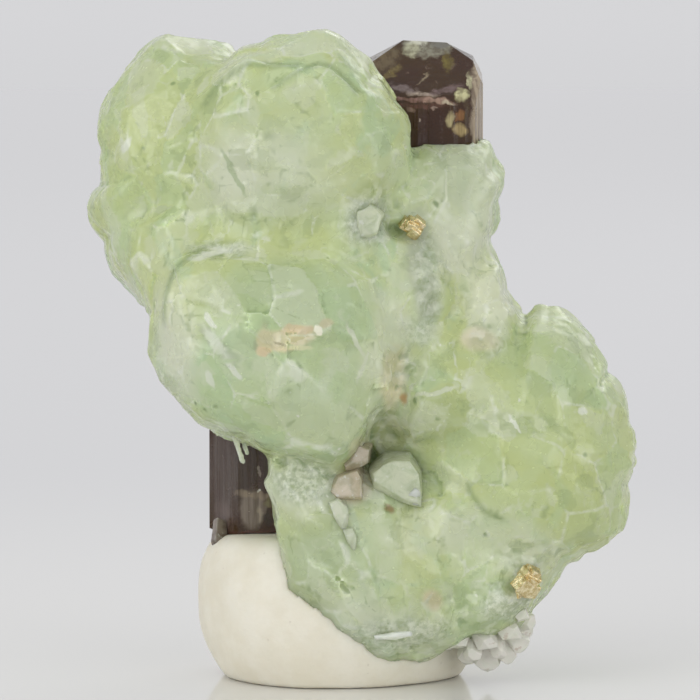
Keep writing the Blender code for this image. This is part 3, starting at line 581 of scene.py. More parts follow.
def plate_relief(points, lobe, seed):
    """Lift, tone and distance to the next plate at points on or near one ball's skin."""
    size, tilt = lobe["plates"]
    way, stretch = lobe["grain"]
    along = unit(way).astype(np.float32)
    swirl = np.stack([waves(points, 7.0, seed + 20 + axis, 6) for axis in range(3)], axis=-1)
    bent = points + np.float32(0.5) * swirl
    squeezed = bent - (bent @ along)[:, None] * along * np.float32(1 - 1 / stretch)
    rise, tone, edge = broken_plates(squeezed, size, tilt, seed)
    fine_rise, fine_tone, fine_edge = broken_plates(squeezed, FINER_PLATES * size, 1.3 * tilt, seed + 1)
    patch = smooth_step(waves(points, 4.5, seed + 30, 8), -0.4, 0.5)
    chips = zone_share(points, CHIPPED_ZONES)
    chip_rise, chip_tone, chip_edge = broken_plates(points, CHIP_SIZE, CHIP_TILT, seed + 2)
    rise = rise + patch * fine_rise + chips * chip_rise
    return rise, tone, edge, fine_tone, fine_edge, chip_tone, chips


def zone_share(points, zones):
    """1 inside any of the egg-shaped zones, fading out round their edges."""
    share = np.zeros(len(points), dtype=np.float32)
    for centre, radii in zones:
        offset = (points - np.array(centre, dtype=np.float32)) / np.array(radii, dtype=np.float32)
        share = np.maximum(share, smooth_step(-np.linalg.norm(offset, axis=1), -1.25, -0.75))
    return share


# Solids as fields: negative inside, and about the distance in millimetres outside

class Grid:
    """Evenly spaced points in a box."""

    def __init__(self, low, high, voxel):
        self.low = np.array(low, dtype=np.float32)
        self.voxel = voxel
        self.axes = [
            np.arange(a, b + voxel, voxel, dtype=np.float32) for a, b in zip(low, high)
        ]
        self.shape = tuple(len(axis) for axis in self.axes)

    def window(self, low, high):
        """The slices that cover a smaller box, and their points."""
        cuts = []
        for axis, a, b in zip(self.axes, low, high):
            start, stop = np.searchsorted(axis, (a, b))
            cuts.append(slice(max(start - 1, 0), min(stop + 1, len(axis))))
        parts = [axis[cut] for axis, cut in zip(self.axes, cuts)]
        points = np.stack(np.meshgrid(*parts, indexing="ij"), axis=-1)
        return tuple(cuts), points


def blended(first, second, width):
    """The union of two fields, with the valley between them filled."""
    near = np.maximum(width - np.abs(first - second), 0) / width
    return np.minimum(first, second) - near * near * width * 0.25


def planes_field(points, planes):
    """A convex solid from (point, outward normal) pairs."""
    field = np.full(points.shape[:-1], -99.0, dtype=np.float32)
    for point, outward in planes:
        normal = unit(outward).astype(np.float32)
        field = np.maximum(field, points @ normal - np.float32(normal @ np.array(point)))
    return field


def section_field(points):
    """Distance to the prism's section across the prism, negative inside it."""
    nearest = np.full(points.shape[:-1], 99.0, dtype=np.float32)
    inside = np.zeros(points.shape[:-1], dtype=bool)
    x, y = points[..., 0], points[..., 1]
    for index, start in enumerate(PRISM_SECTION):
        end = PRISM_SECTION[(index + 1) % len(PRISM_SECTION)]
        run, rise = end[0] - start[0], end[1] - start[1]
        share = ((x - start[0]) * run + (y - start[1]) * rise) / (run**2 + rise**2)
        share = np.clip(share, 0, 1)
        away = np.hypot(x - start[0] - share * run, y - start[1] - share * rise)
        nearest = np.minimum(nearest, away)
        if rise:
            crossing = (y >= start[1]) != (y >= end[1])
            inside ^= crossing & (x < start[0] + run * (y - start[1]) / rise)
    return np.where(inside, -nearest, nearest)


def crystal_field(points):
    return np.maximum(section_field(points), planes_field(points, CROWN_FACES + FOOT_FACES))


def small_crystal_planes(root, tip, radius, thickness, sides, seed):
    """The faces of a small crystal: sides round its length, slanting ones at its tip."""
    rng = np.random.default_rng(seed)
    root, tip = np.array(root, dtype=float), np.array(tip, dtype=float)
    along = unit(tip - root)
    across = unit(np.cross(along, (0.3, 0.2, 1.0) if abs(along[2]) < 0.9 else (1, 0.2, 0.1)))
    over = np.cross(along, across)
    planes = [(root, -along)]
    for step in range(sides):
        turn = 2 * math.pi * (step + rng.uniform(-0.15, 0.15)) / sides
        outward = math.cos(turn) * across + math.sin(turn) * over
        reach = radius * rng.uniform(0.82, 1.0) * math.hypot(math.cos(turn), thickness * math.sin(turn))
        planes.append((root + outward * reach, outward + along * rng.uniform(-0.06, 0.04)))
        if step % 2 == 0:
            slant = rng.uniform(0.6, 1.2)
            planes.append((tip + outward * radius * 0.15, outward + along * slant))
    planes.append((tip - along * radius * 0.12, along + across * rng.uniform(-0.2, 0.2)))
    return planes


def block_planes(outline, back, front, facing, seed):
    """The faces of a chunky crystal seen end on: its sides, its front and some bevels."""
    rng = np.random.default_rng(seed)
    middle = np.mean(outline, axis=0)
    planes = [((middle[0], back, middle[1]), (0, 1, 0)), ((middle[0], front, middle[1]), facing)]
    for index, (x, z) in enumerate(outline):
        after = outline[(index + 1) % len(outline)]
        run = unit((after[0] - x, 0, after[1] - z))
        outward = np.array((run[2], 0, -run[0]))
        planes.append(((x, front + BLOCK_BEVEL, z), outward + (0, -BLOCK_TAPER * rng.uniform(0.3, 1), 0)))
        if index % 2:
            inner = np.array((x, front, z)) - outward * BLOCK_BEVEL * rng.uniform(0.6, 1.8)
            planes.append((inner, outward + (0, -rng.uniform(0.6, 1.4), 0)))
    return planes


def ellipsoid_field(points, centre, radii):
    offset = (points - np.array(centre, dtype=np.float32)) / np.array(radii, dtype=np.float32)
    return (np.linalg.norm(offset, axis=-1) - 1) * min(radii)


def prehnite_field(grid):
    field = np.full(grid.shape, 3.0, dtype=np.float32)
    for number, lobe in enumerate(LOBES.values()):
        centre = np.array(lobe["centre"])
        reach = float(ball_table(number).max()) + 1.6
        cut, points = grid.window(centre - reach, centre + reach)
        ball = ball_field(points, number)
        close = (np.abs(ball) < PLATE_BAND) & (field[cut] > -PLATE_BAND)
        ball[close] -= plate_relief(points[close], lobe, FIRST_SEED + number)[0]
        field[cut] = blended(field[cut], ball, LOBE_BLEND)
    for number, (centre, radii, soft) in enumerate(HOLLOWS):
        reach = np.array(radii) + 1.5
        cut, points = grid.window(np.array(centre) - reach, np.array(centre) + reach)
        pit = ellipsoid_field(points, centre, radii) + 0.18 * waves(points, 1.2, 300 + number)
        field[cut] = -blended(-field[cut], pit, soft)
    for number, (centre, spread) in enumerate(PITS):
        cut, points = grid.window(np.array(centre) - 3 * spread, np.array(centre) + 3 * spread)
        ragged = 0.5 * spread * waves(points, 3.2 * spread, 330 + number)
        pit = np.linalg.norm(points - np.array(centre, dtype=np.float32), axis=-1) - 0.8 * spread + ragged
        field[cut] = -blended(-field[cut], pit, 0.2)
    low = (-7.6, -2.1, 7.0)
    high = (8.4, 6.4, 35.5)
    cut, points = grid.window(low, high)
    field[cut] = np.maximum(field[cut], CRYSTAL_CLEARANCE - crystal_field(points))
    return field


# Skins from fields

def surface_net(field, grid):
    """Vertices and quads of the skin where the field is zero."""
    inside = field < 0
    corners = [(i, j, k) for i in (0, 1) for j in (0, 1) for k in (0, 1)]
    shape = np.array(field.shape)

    def shifted(array, corner):
        cut = tuple(slice(c, n - 1 + c) for c, n in zip(corner, shape))
        return array[cut]

    filled = sum(shifted(inside, corner).astype(np.uint8) for corner in corners)
    cells = np.argwhere((filled > 0) & (filled < 8))
    index = np.full(shape - 1, -1, dtype=np.int32)
    index[tuple(cells.T)] = np.arange(len(cells))
    total = np.zeros((len(cells), 3), dtype=np.float32)
    count = np.zeros(len(cells), dtype=np.float32)
    for axis in range(3):
        for corner in corners:
            if corner[axis]:
                continue
            start = cells + corner
            stop = start.copy()
            stop[:, axis] += 1
            first, second = field[tuple(start.T)], field[tuple(stop.T)]
            crosses = (first < 0) != (second < 0)
            share = first[crosses] / (first[crosses] - second[crosses])
            total[crosses] += np.array(corner, dtype=np.float32)
            total[crosses, axis] += share
            count[crosses] += 1
    points = (cells + total / count[:, None]) * grid.voxel + grid.low
    quads = []
    for axis in range(3):
        one, two = (axis + 1) % 3, (axis + 2) % 3
        first = np.take(inside, range(shape[axis] - 1), axis)
        second = np.take(inside, range(1, shape[axis]), axis)
        edges = np.argwhere(first != second)
        edges = edges[np.all(edges[:, [one, two]] > 0, axis=1)]
        edges = edges[np.all(edges[:, [one, two]] < shape[[one, two]] - 1, axis=1)]
        leaving = first[tuple(edges.T)]
        around = []
        for back_one, back_two in ((1, 1), (0, 1), (0, 0), (1, 0)):
            cell = edges.copy()
            cell[:, one] -= back_one
            cell[:, two] -= back_two
            around.append(index[tuple(cell.T)])
        ring = np.column_stack(around)
        ring[~leaving] = ring[~leaving][:, ::-1]
        quads.append(ring)
    return points, np.concatenate(quads)


def evaluated(mesh, add_modifiers):
    """The mesh after the modifiers that add_modifiers puts on an object made from it."""
    obj = bpy.data.objects.new("shaping", mesh)
    bpy.context.scene.collection.objects.link(obj)
    add_modifiers(obj)
    bpy.context.view_layer.update()
    graph = bpy.context.evaluated_depsgraph_get()
    result = bpy.data.meshes.new_from_object(obj.evaluated_get(graph))
    bpy.data.objects.remove(obj, do_unlink=True)
    return result


def thinned(mesh, triangles):
    """The mesh with about this many triangles, or as it is if it has no more."""
    if 2 * len(mesh.polygons) <= triangles:
        return mesh

    def thin(obj):
        decimate = obj.modifiers.new("fewer faces", "DECIMATE")
        decimate.ratio = triangles / (2 * len(mesh.polygons))
        decimate.use_collapse_triangulate = True

    return evaluated(mesh, thin)


def net_mesh(name, field, grid, triangles):
    points, quads = surface_net(field, grid)
    mesh = bpy.data.meshes.new(name)
    mesh.from_pydata(points, [], quads)
    return thinned(mesh, triangles)


def positions(mesh):
    flat = np.empty(3 * len(mesh.vertices), dtype=np.float32)
    mesh.vertices.foreach_get("co", flat)
    return flat.reshape(-1, 3)


def normals(mesh):
    flat = np.empty(3 * len(mesh.vertices), dtype=np.float32)
    mesh.vertices.foreach_get("normal", flat)
    return flat.reshape(-1, 3)


def set_positions(mesh, points):
    mesh.vertices.foreach_set("co", points.astype(np.float32).ravel())
    mesh.update()


def neighbour_mean(mesh, values, rounds):
    """The values averaged over each vertex's neighbours, this many times."""
    edges = np.empty(2 * len(mesh.edges), dtype=np.int32)
    mesh.edges.foreach_get("vertices", edges)
    first, second = edges.reshape(-1, 2).T
    size = len(mesh.vertices)
    links = np.bincount(first, minlength=size) + np.bincount(second, minlength=size)
    for _ in range(rounds):
        columns = []
        for column in values.T:
            total = np.bincount(first, column[second], size) + np.bincount(second, column[first], size)
            columns.append((column + total) / (1 + links))
        values = np.column_stack(columns)
    return values


def store_relief(mesh, name, rounds, span):
    """A vertex value: 0 in dents, 0.5 where flat, 1 on edges that stand out by span or more."""
    points = positions(mesh)
    smooth = neighbour_mean(mesh, points, rounds)
    proud = np.sum((points - smooth) * normals(mesh), axis=1)
    store(mesh, name, np.clip(0.5 + 0.5 * proud / span, 0, 1))


def store(mesh, name, values):
    layer = mesh.attributes.new(name, "FLOAT", "POINT")
    layer.data.foreach_set("value", np.asarray(values, dtype=np.float32))


def store_plates(mesh, points):
    """Each vertex keeps the tones and edges of the plates of the ball that it belongs to."""
    nearest = np.full(len(points), 99.0, dtype=np.float32)
    owner = np.zeros(len(points), dtype=np.int32)
    for number in range(len(LOBES)):
        ball = ball_field(points, number)
        owner[ball < nearest] = number
        nearest = np.minimum(nearest, ball)
    names = ("lift", "plate", "plate_edge", "fine_plate", "fine_edge", "chip", "chipped", "ring")
    values = np.zeros((len(points), len(names)), dtype=np.float32)
    for number, lobe in enumerate(LOBES.values()):
        mine = owner == number
        if mine.any():
            plates = plate_relief(points[mine], lobe, FIRST_SEED + number)
            values[mine] = np.column_stack((*plates, ring_lines(lobe, points[mine])))
    for name, column in zip(names[1:], values.T[1:]):
        store(mesh, name, column)


def place(name, mesh, material, node=None, slot=None, smooth=True):
    """A finished mesh as a piece of the object."""
    mesh.transform(Matrix.Scale(MM, 4))
    mesh.materials.clear()
    mesh.materials.append(material)
    mesh.polygons.foreach_set("use_smooth", [smooth] * len(mesh.polygons))
    mesh.name = name
    obj = bpy.data.objects.new(name, mesh)
    bpy.context.scene.collection.objects.link(obj)
    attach(obj, "root")
    if node:
        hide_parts(node)
    return obj


# Materials

class Shader:
    """A material whose nodes are added one at a time."""

    def __init__(self, name):
        self.material = bpy.data.materials.new(name)
        self.material.use_nodes = True
        self.tree = self.material.node_tree
        self.tree.nodes.clear()
        coordinates = self.add("TexCoord").outputs["Object"]
        self.mm = self.vector("SCALE", coordinates, scale=1 / MM)

    def add(self, kind, inputs=None, **settings):
        node = self.tree.nodes.new("ShaderNode" + kind)
        for key, value in settings.items():
            setattr(node, key, value)
        for key, value in (inputs or {}).items():
            socket = node.inputs[key]
            if isinstance(value, bpy.types.NodeSocket):
                self.tree.links.new(value, socket)
            else:
                socket.default_value = value
        return node

    def vector(self, operation, first, second=None, scale=None):
        inputs = {0: first}
        if second is not None:
            inputs[1] = second
        if scale is not None:
            inputs["Scale"] = scale
        node = self.add("VectorMath", inputs, operation=operation)
        return node.outputs["Value" if operation in ("LENGTH", "DOT_PRODUCT") else "Vector"]

    def math(self, operation, first, second=None, clamp=False):
        inputs = {0: first}
        if second is not None:
            inputs[1] = second
        return self.add("Math", inputs, operation=operation, use_clamp=clamp).outputs[0]

    def ramp(self, value, low, high, to_low=0.0, to_high=1.0):
        """The value carried smoothly from low..high to to_low..to_high, and no further."""
        inputs = {"Value": value, "From Min": low, "From Max": high, "To Min": to_low, "To Max": to_high}
        return self.add("MapRange", inputs, interpolation_type="SMOOTHSTEP").outputs["Result"]

    def noise(self, per_mm, detail=3.0, rough=0.5, bend=0.0, at=None, colour=False):
        inputs = {
            "Vector": at or self.mm, "Scale": per_mm, "Detail": detail, "Roughness": rough, "Distortion": bend,
        }
        return self.add("TexNoise", inputs).outputs["Color" if colour else "Fac"]

    def cells(self, per_mm, feature, at=None, output="Distance"):
        inputs = {"Vector": at or self.mm, "Scale": per_mm}
        return self.add("TexVoronoi", inputs, feature=feature).outputs[output]

    def mix(self, share, first, second, blend="MIX"):
        node = self.add("Mix", data_type="RGBA", blend_type=blend, clamp_factor=True)
        for socket, value in ((node.inputs[0], share), (node.inputs[6], first), (node.inputs[7], second)):
            if isinstance(value, bpy.types.NodeSocket):
                self.tree.links.new(value, socket)
            elif isinstance(value, (int, float)):
                socket.default_value = value
            else:
                socket.default_value = (*value, 1.0)
        return node.outputs[2]

    def warped(self, amount, per_mm):
        """The coordinates pushed about by noise, up to about amount millimetres."""
        push = self.vector("SUBTRACT", self.noise(per_mm, 3.0, colour=True), (0.5, 0.5, 0.5))
        return self.vector("ADD", self.mm, self.vector("SCALE", push, scale=2 * amount))

    def mark(self, centre, radii, soft=0.5, at=None, slant=0):
        """1 inside an egg-shaped region given in millimetres, fading out across its edge.

        slant turns its long axis up at the right, in degrees as seen from the front.
        """
        offset = self.vector("SUBTRACT", at or self.mm, centre)
        if slant:
            inputs = {"Vector": offset, "Angle": math.radians(slant)}
            offset = self.add("VectorRotate", inputs, rotation_type="Y_AXIS").outputs[0]
        away = self.vector("LENGTH", self.vector("DIVIDE", offset, radii))
        return self.ramp(away, 1.0 - soft, 1.0 + soft, 1.0, 0.0)

    def attribute(self, name, output="Fac"):
        return self.add("Attribute", attribute_name=name, attribute_type="GEOMETRY").outputs[output]

    def bump(self, height, distance_mm, strength=1.0, normal=None):
        inputs = {"Height": height, "Distance": distance_mm * MM, "Strength": strength}
        if normal is not None:
            inputs["Normal"] = normal
        return self.add("Bump", inputs).outputs["Normal"]

    def surface(self, inputs, volume=None):
        principled = self.add("BsdfPrincipled", inputs, subsurface_method="BURLEY")
        output = self.add("OutputMaterial", {"Surface": principled.outputs[0]})
        if volume:
            colour, density = volume
            absorb = self.add("VolumeAbsorption", {"Color": (*colour, 1.0), "Density": density})
            self.tree.links.new(absorb.outputs[0], output.inputs["Volume"])
        return self.material


# Places on the prehnite that have a colour of their own, a few of them painted highlight and shade as noted: centre,
# radii, how soft, colour, strength
YELLOW_GREEN = (0.60, 0.675, 0.32)
LIGHT_GREEN = (0.63, 0.73, 0.44)
BLUE_GREEN = (0.50, 0.66, 0.42)
DEEP_GREEN = (0.20, 0.29, 0.12)
MILKY = (0.76, 0.80, 0.66)
WHITE = (0.86, 0.89, 0.82)
PINKISH = (0.84, 0.70, 0.52)
BROWNISH = (0.64, 0.62, 0.38)
GREY_GREEN = (0.41, 0.45, 0.33)
RUST = (0.50, 0.22, 0.04)

PREHNITE_DEPTH = (0.92, 0.93, 0.86)     # what the stone's own depth takes from its colour

PREHNITE_MARKS = [
    ((-9.5, -3.0, 30.5), (4.2, 5.0, 5.5), 0.6, YELLOW_GREEN, 0.75),
    ((10.5, -7.0, 13.5), (5.2, 6.0, 5.5), 0.6, YELLOW_GREEN, 0.55),
    ((-2.6, -9.0, 17.5), (6.0, 4.0, 4.5), 0.6, BLUE_GREEN, 0.55),
    ((-0.8, -8.0, 6.0), (3.0, 4.0, 4.0), 0.6, (0.47, 0.56, 0.38), 0.6),
    ((-3.2, -6.0, 28.2), (3.4, 4.0, 2.2), 0.6, MILKY, 0.60),
    ((-6.0, -5.0, 28.4), (1.4, 4.0, 2.2), 0.5, (0.84, 0.87, 0.72), 0.75),
    ((2.6, -8.0, 19.2), (1.2, 4.0, 2.6), 0.5, (0.80, 0.84, 0.66), 0.75),
    ((10.0, -7.0, 7.6), (2.4, 4.0, 1.3), 0.5, (0.74, 0.80, 0.60), 0.7),
    ((6.4, -4.0, 24.2), (1.5, 4.0, 1.6), 0.5, (0.84, 0.86, 0.76), 0.6),
    ((6.9, -3.5, 26.0), (1.8, 4.0, 3.8), 0.5, MILKY, 0.55),
    ((8.4, -4.5, 21.2), (1.8, 4.0, 2.0), 0.5, (0.84, 0.86, 0.72), 0.75),
    ((-8.9, -7.5, 18.8), (1.3, 4.0, 3.0), 0.5, (0.84, 0.86, 0.74), 0.80),
    ((-1.6, -6.0, 11.2), (2.4, 5.0, 1.8), 0.5, MILKY, 0.70),
    ((1.2, -8.0, 4.0), (2.4, 4.0, 1.2), 0.5, MILKY, 0.50),
    ((5.6, -8.0, 9.0), (3.4, 4.0, 1.2), 0.5, MILKY, 0.45),
    ((4.6, -5.0, 22.6), (0.75, 3.5, 3.4), 0.35, GREY_GREEN, 0.85),
    # White streaks on the middle left ball's left side: a frosted patch with a painted highlight laid on it.
    ((-6.5, -9.8, 19.1), (1.5, 2.5, 0.30), 0.25, WHITE, 0.65, -54),
    ((-6.9, -9.8, 20.4), (0.5, 2.5, 0.16), 0.2, WHITE, 0.8, -60),
    ((-5.6, -10.0, 17.7), (0.6, 2.5, 0.20), 0.25, WHITE, 0.75, -45),
    ((-6.9, -9.8, 17.2), (0.5, 2.5, 0.18), 0.25, WHITE, 0.7, -75),
    ((0.9, -10.0, 19.3), (1.1, 2.5, 0.13), 0.25, MILKY, 0.8, -65),
    ((1.3, -9.6, 17.9), (0.9, 2.5, 0.12), 0.25, MILKY, 0.7, 75),
    ((-2.7, -10.5, 19.55), (1.5, 2.5, 0.66), 0.2, (0.88, 0.75, 0.53), 0.9, 8),
    ((-3.95, -10.4, 19.3), (0.50, 2.5, 0.75), 0.2, (0.72, 0.65, 0.44), 0.9),
    ((-4.0, -10.4, 18.85), (0.40, 2.5, 0.26), 0.3, (0.88, 0.70, 0.48), 0.8),
    ((-2.2, -10.5, 19.98), (0.90, 2.5, 0.26), 0.25, (0.70, 0.57, 0.39), 0.8, 4),
    ((-2.2, -10.5, 19.02), (0.75, 2.5, 0.16), 0.25, (0.80, 0.80, 0.55), 0.85, -6),
    ((-3.2, -10.5, 19.2), (0.36, 2.5, 0.08), 0.25, (0.36, 0.32, 0.20), 0.7, -25),
    ((-0.66, -10.4, 20.3), (0.36, 2.5, 0.22), 0.3, (0.66, 0.60, 0.42), 0.8),
    ((-1.12, -10.4, 19.97), (0.26, 2.5, 0.30), 0.15, (1.0, 0.98, 0.85), 1.0),
    # Deeper green on the right ball's top: painted shade that darkens where the key lamp lights it.
    ((11.0, -5.0, 18.3), (3.0, 4.5, 1.7), 0.5, (0.47, 0.57, 0.32), 0.55),
    ((5.6, -6.8, 14.8), (1.9, 3.0, 1.6), 0.4, (0.44, 0.51, 0.24), 0.75),
    ((5.2, -6.9, 16.3), (1.2, 2.5, 0.14), 0.25, MILKY, 0.8, 12),
    ((6.6, -3.5, 27.8), (1.8, 4.0, 1.3), 0.5, (0.50, 0.56, 0.40), 0.5),
    ((-3.0, -9.5, 21.6), (3.2, 3.5, 1.7), 0.5, (0.47, 0.58, 0.34), 0.8),
    ((-3.0, -7.0, 26.2), (3.2, 3.5, 1.2), 0.5, (0.50, 0.58, 0.34), 0.5),
    ((9.5, -7.6, 14.6), (0.55, 2.5, 0.10), 0.25, WHITE, 0.8, -60),
    ((13.2, -6.6, 15.2), (0.35, 2.5, 0.22), 0.25, WHITE, 0.8, 30),
    ((-11.6, -2.5, 29.5), (0.5, 3.0, 0.22), 0.25, WHITE, 0.8, 60),
    ((-7.0, -6.0, 23.8), (1.2, 3.0, 0.20), 0.25, WHITE, 0.75, 14),
    ((-5.7, -6.5, 28.2), (1.4, 3.0, 0.16), 0.25, (0.36, 0.46, 0.26), 0.6, -62),
    ((2.9, -6.4, 17.0), (0.8, 3.0, 1.7), 0.3, (0.92, 0.80, 0.60), 0.7),
    ((7.7, -5.5, 19.0), (1.0, 3.0, 0.6), 0.3, (0.92, 0.82, 0.66), 0.7),
    ((5.1, -8.0, 5.1), (0.5, 2.0, 0.6), 0.3, PINKISH, 0.75, 30),
    ((0.9, -7.6, 11.4), (1.1, 3.0, 0.9), 0.3, (0.74, 0.62, 0.44), 0.7),
    ((1.2, -7.6, 13.2), (0.7, 3.0, 0.7), 0.3, PINKISH, 0.50),
    ((2.5, -6.5, 13.9), (1.3, 4.0, 1.3), 0.4, BROWNISH, 0.55),
    ((3.5, -6.8, 15.9), (0.20, 2.5, 0.34), 0.5, RUST, 0.7),
    ((2.7, -7.6, 10.0), (0.30, 2.5, 0.16), 0.5, (0.30, 0.16, 0.06), 0.7, -35),
]


# Granular, greyish-white crusts: centre, radii, how soft, how strong
CRUSTS = [
    ((-1.9, -6.8, 11.5), (1.6, 2.5, 1.2), 0.3, 0.6),
    ((1.5, -6.0, 25.6), (1.3, 2.5, 1.3), 0.4, 0.55),
    ((4.7, -5.0, 22.0), (0.8, 3.0, 2.4), 0.4, 0.25),
    ((3.5, -7.5, 3.2), (2.6, 2.5, 0.9), 0.5, 0.5),
    ((9.2, -6.4, 4.6), (1.6, 2.5, 0.8), 0.4, 0.6),
    ((-6.6, -7.0, 24.1), (1.5, 2.5, 0.35), 0.4, 0.6),
    ((4.2, -6.0, 19.6), (1.0, 2.5, 0.9), 0.5, 0.45),
    ((3.0, 7.0, 10.5), (2.0, 2.5, 1.4), 0.5, 0.5),
]


SHARP_SOFTNESS = 0.3        # a mark no softer than this lies over the plates, others lie under them
FINE_MARK = 0.3             # a mark narrower than this, in mm, is drawn by the material itself


def stacked_marks(points, sharp):
    """The colour of the broad marks at each point, laid one over the next, and how much it covers.

    sharp picks the ones with a clear edge, and otherwise it gives the soft ones.
    """
    wobble = np.stack([waves(points, 2.0, 980 + axis) for axis in range(3)], axis=-1)
    bend = np.stack([waves(points, 5.0, 990 + axis) for axis in range(3)], axis=-1)
    colour, cover = np.zeros((len(points), 3)), np.zeros((len(points), 1))
    for centre, radii, soft, tint, strength, *slant in PREHNITE_MARKS:
        if min(radii) < FINE_MARK or sharp != (soft <= SHARP_SOFTNESS):
            continue
        shifted = points + (0.12 * wobble if sharp else 0.35 * bend)
        mask = strength * mark_share(shifted, centre, radii, soft, *slant)[:, None]
        colour = colour * (1 - mask) + np.array(tint) * mask
        cover = cover * (1 - mask) + mask
    return colour / np.maximum(cover, 1e-4), cover[:, 0]


def mark_share(points, centre, radii, soft, slant=0):
    """1 inside an egg-shaped region, fading out across its edge, its long axis slanted in degrees."""
    x, y, z = (points - np.array(centre)).T
    turn = math.radians(slant)
    turned = np.column_stack((x * math.cos(turn) + z * math.sin(turn), y, z * math.cos(turn) - x * math.sin(turn)))
    away = np.linalg.norm(turned / np.array(radii), axis=1)
    return smooth_step(-away, -1 - soft, soft - 1)


def store_marks(mesh):
    points = positions(mesh)
    for name, sharp in (("soft_mark", False), ("sharp_mark", True)):
        colour, cover = stacked_marks(points, sharp)
        layer = mesh.attributes.new(name + "_colour", "FLOAT_COLOR", "POINT")
        whole = np.column_stack((colour, np.ones(len(colour))))
        layer.data.foreach_set("color", whole.astype(np.float32).ravel())
        store(mesh, name, cover)
    wobble = points + 0.15 * np.stack([waves(points, 1.2, 970 + axis) for axis in range(3)], axis=-1)
    crusts = [strength * mark_share(wobble, centre, radii, soft) for centre, radii, soft, strength in CRUSTS]
    store(mesh, "crust", np.max(crusts, axis=0))
    # Where the pits' painted shade goes
    pits = [mark_share(wobble, centre, (1.3 * spread,) * 3, 0.4) for centre, spread in PITS]
    store(mesh, "pit", np.max(pits, axis=0))


def prehnite_material():
    s = Shader("prehnite_see_through_green")
    bent = s.warped(0.7, 0.5)
    crisp = s.warped(0.28, 1.3)
    plate, edge = s.attribute("plate"), s.attribute("plate_edge")
    fine, fine_edge = s.attribute("fine_plate"), s.attribute("fine_edge")
    chip, chipped = s.attribute("chip"), s.attribute("chipped")
    relief = s.attribute("relief")

    colour = s.mix(s.ramp(s.noise(0.20, 3.0, 0.55, 0.6), 0.40, 0.60), YELLOW_GREEN, LIGHT_GREEN)
    colour = s.mix(s.ramp(s.noise(0.31, 4.0, 0.6, 0.8), 0.52, 0.66, 0.0, 0.6), colour, BLUE_GREEN)
    colour = s.mix(s.attribute("soft_mark"), colour, s.attribute("soft_mark_colour", "Color"))
    colour = s.mix(s.ramp(plate, 0.55, 1.0, 0.0, 0.38), colour, MILKY)
    colour = s.mix(s.ramp(plate, 0.0, 0.35, 0.30, 0.0), colour, BLUE_GREEN)
    colour = s.mix(s.ramp(fine, 0.62, 1.0, 0.0, 0.35), colour, MILKY)
    colour = s.mix(s.ramp(fine, 0.0, 0.22, 0.22, 0.0), colour, DEEP_GREEN)
    colour = s.mix(s.attribute("sharp_mark"), colour, s.attribute("sharp_mark_colour", "Color"))
    veil = s.ramp(s.noise(0.8, 5.0, 0.62, 1.2, at=bent), 0.56, 0.76, 0.0, 0.5)
    colour = s.mix(veil, colour, MILKY)

    # White lines along the plate edges, in patches: partly the stone's whitish edges, partly painted highlight.
    edge_frost_and_highlight = s.ramp(s.noise(0.45, 3.0, 0.6), 0.48, 0.58)
    line = s.math("MULTIPLY", s.ramp(edge, 0.02, 0.16, 1.0, 0.0), edge_frost_and_highlight)
    colour = s.mix(s.math("MULTIPLY", line, 0.55), colour, WHITE)
    shade = s.ramp(s.noise(0.5, 3.0, 0.6), 0.36, 0.46, 1.0, 0.0)
    crack = s.math("MULTIPLY", s.ramp(fine_edge, 0.01, 0.10, 1.0, 0.0), shade)
    colour = s.mix(s.math("MULTIPLY", crack, 0.40), colour, DEEP_GREEN)
    crust = s.mix(s.ramp(chip, 0.2, 0.9), DEEP_GREEN, WHITE)
    colour = s.mix(s.math("MULTIPLY", chipped, 0.30), colour, crust)

    grains = s.ramp(s.noise(3.4, 4.0, 0.7), 0.40, 0.60)
    grains = s.mix(grains, (0.42, 0.48, 0.36), (0.84, 0.87, 0.80))
    colour = s.mix(s.attribute("crust"), colour, grains)
    glint = s.ramp(s.cells(0.9, "F1", at=crisp), 0.05, 0.09, 0.9, 0.0)
    glint = s.math("MULTIPLY", glint, s.ramp(s.noise(0.35, 2.0), 0.50, 0.56))
    colour = s.mix(glint, colour, WHITE)

    deep = s.ramp(s.noise(1.1, 4.0, 0.65), 0.62, 0.76, 0.0, 0.35)
    colour = s.mix(deep, colour, DEEP_GREEN)
    speck = s.ramp(s.cells(0.42, "F1", at=bent), 0.03, 0.10, 0.75, 0.0)
    colour = s.mix(speck, colour, DEEP_GREEN)
    # Painted shade along the ledge of each growth layer
    colour = s.mix(s.math("MULTIPLY", s.attribute("ring"), 0.55), colour, DEEP_GREEN)
    # Painted shade inside the pits
    colour = s.mix(s.math("MULTIPLY", s.attribute("pit"), 0.55), colour, DEEP_GREEN)
    for centre, radii, soft, tint, strength, *slant in PREHNITE_MARKS:
        if min(radii) < FINE_MARK:
            mask = s.mark(centre, radii, soft, crisp, *slant)
            colour = s.mix(s.math("MULTIPLY", mask, strength), colour, tint)
    # Painted highlight: edges that stand out are whitened.
    colour = s.mix(s.ramp(relief, 0.65, 1.0, 0.0, 0.25), colour, WHITE)
    # Painted shade: dents and creases are darkened towards deep green.
    colour = s.mix(s.ramp(relief, 0.05, 0.40, 0.55, 0.0), colour, DEEP_GREEN)

    colour = s.mix(1.0, colour, PREHNITE_DEPTH, "MULTIPLY")

    normal = s.bump(s.noise(0.9, 3.0, 0.5), 0.11, 0.4)
    normal = s.bump(s.noise(5.0, 2.0, 0.6), 0.02, 0.4, normal)
    rough = s.ramp(s.noise(1.0, 2.0, 0.6), 0.35, 0.7, 0.12, 0.36)
    return s.surface({
        "Base Color": colour, "Roughness": rough, "IOR": 1.63, "Normal": normal,
        "Subsurface Weight": 1.0, "Subsurface Radius": (1.0, 1.0, 0.62), "Subsurface Scale": 0.0016,
        "Transmission Weight": 0.18, "Specular IOR Level": 0.3,
    })
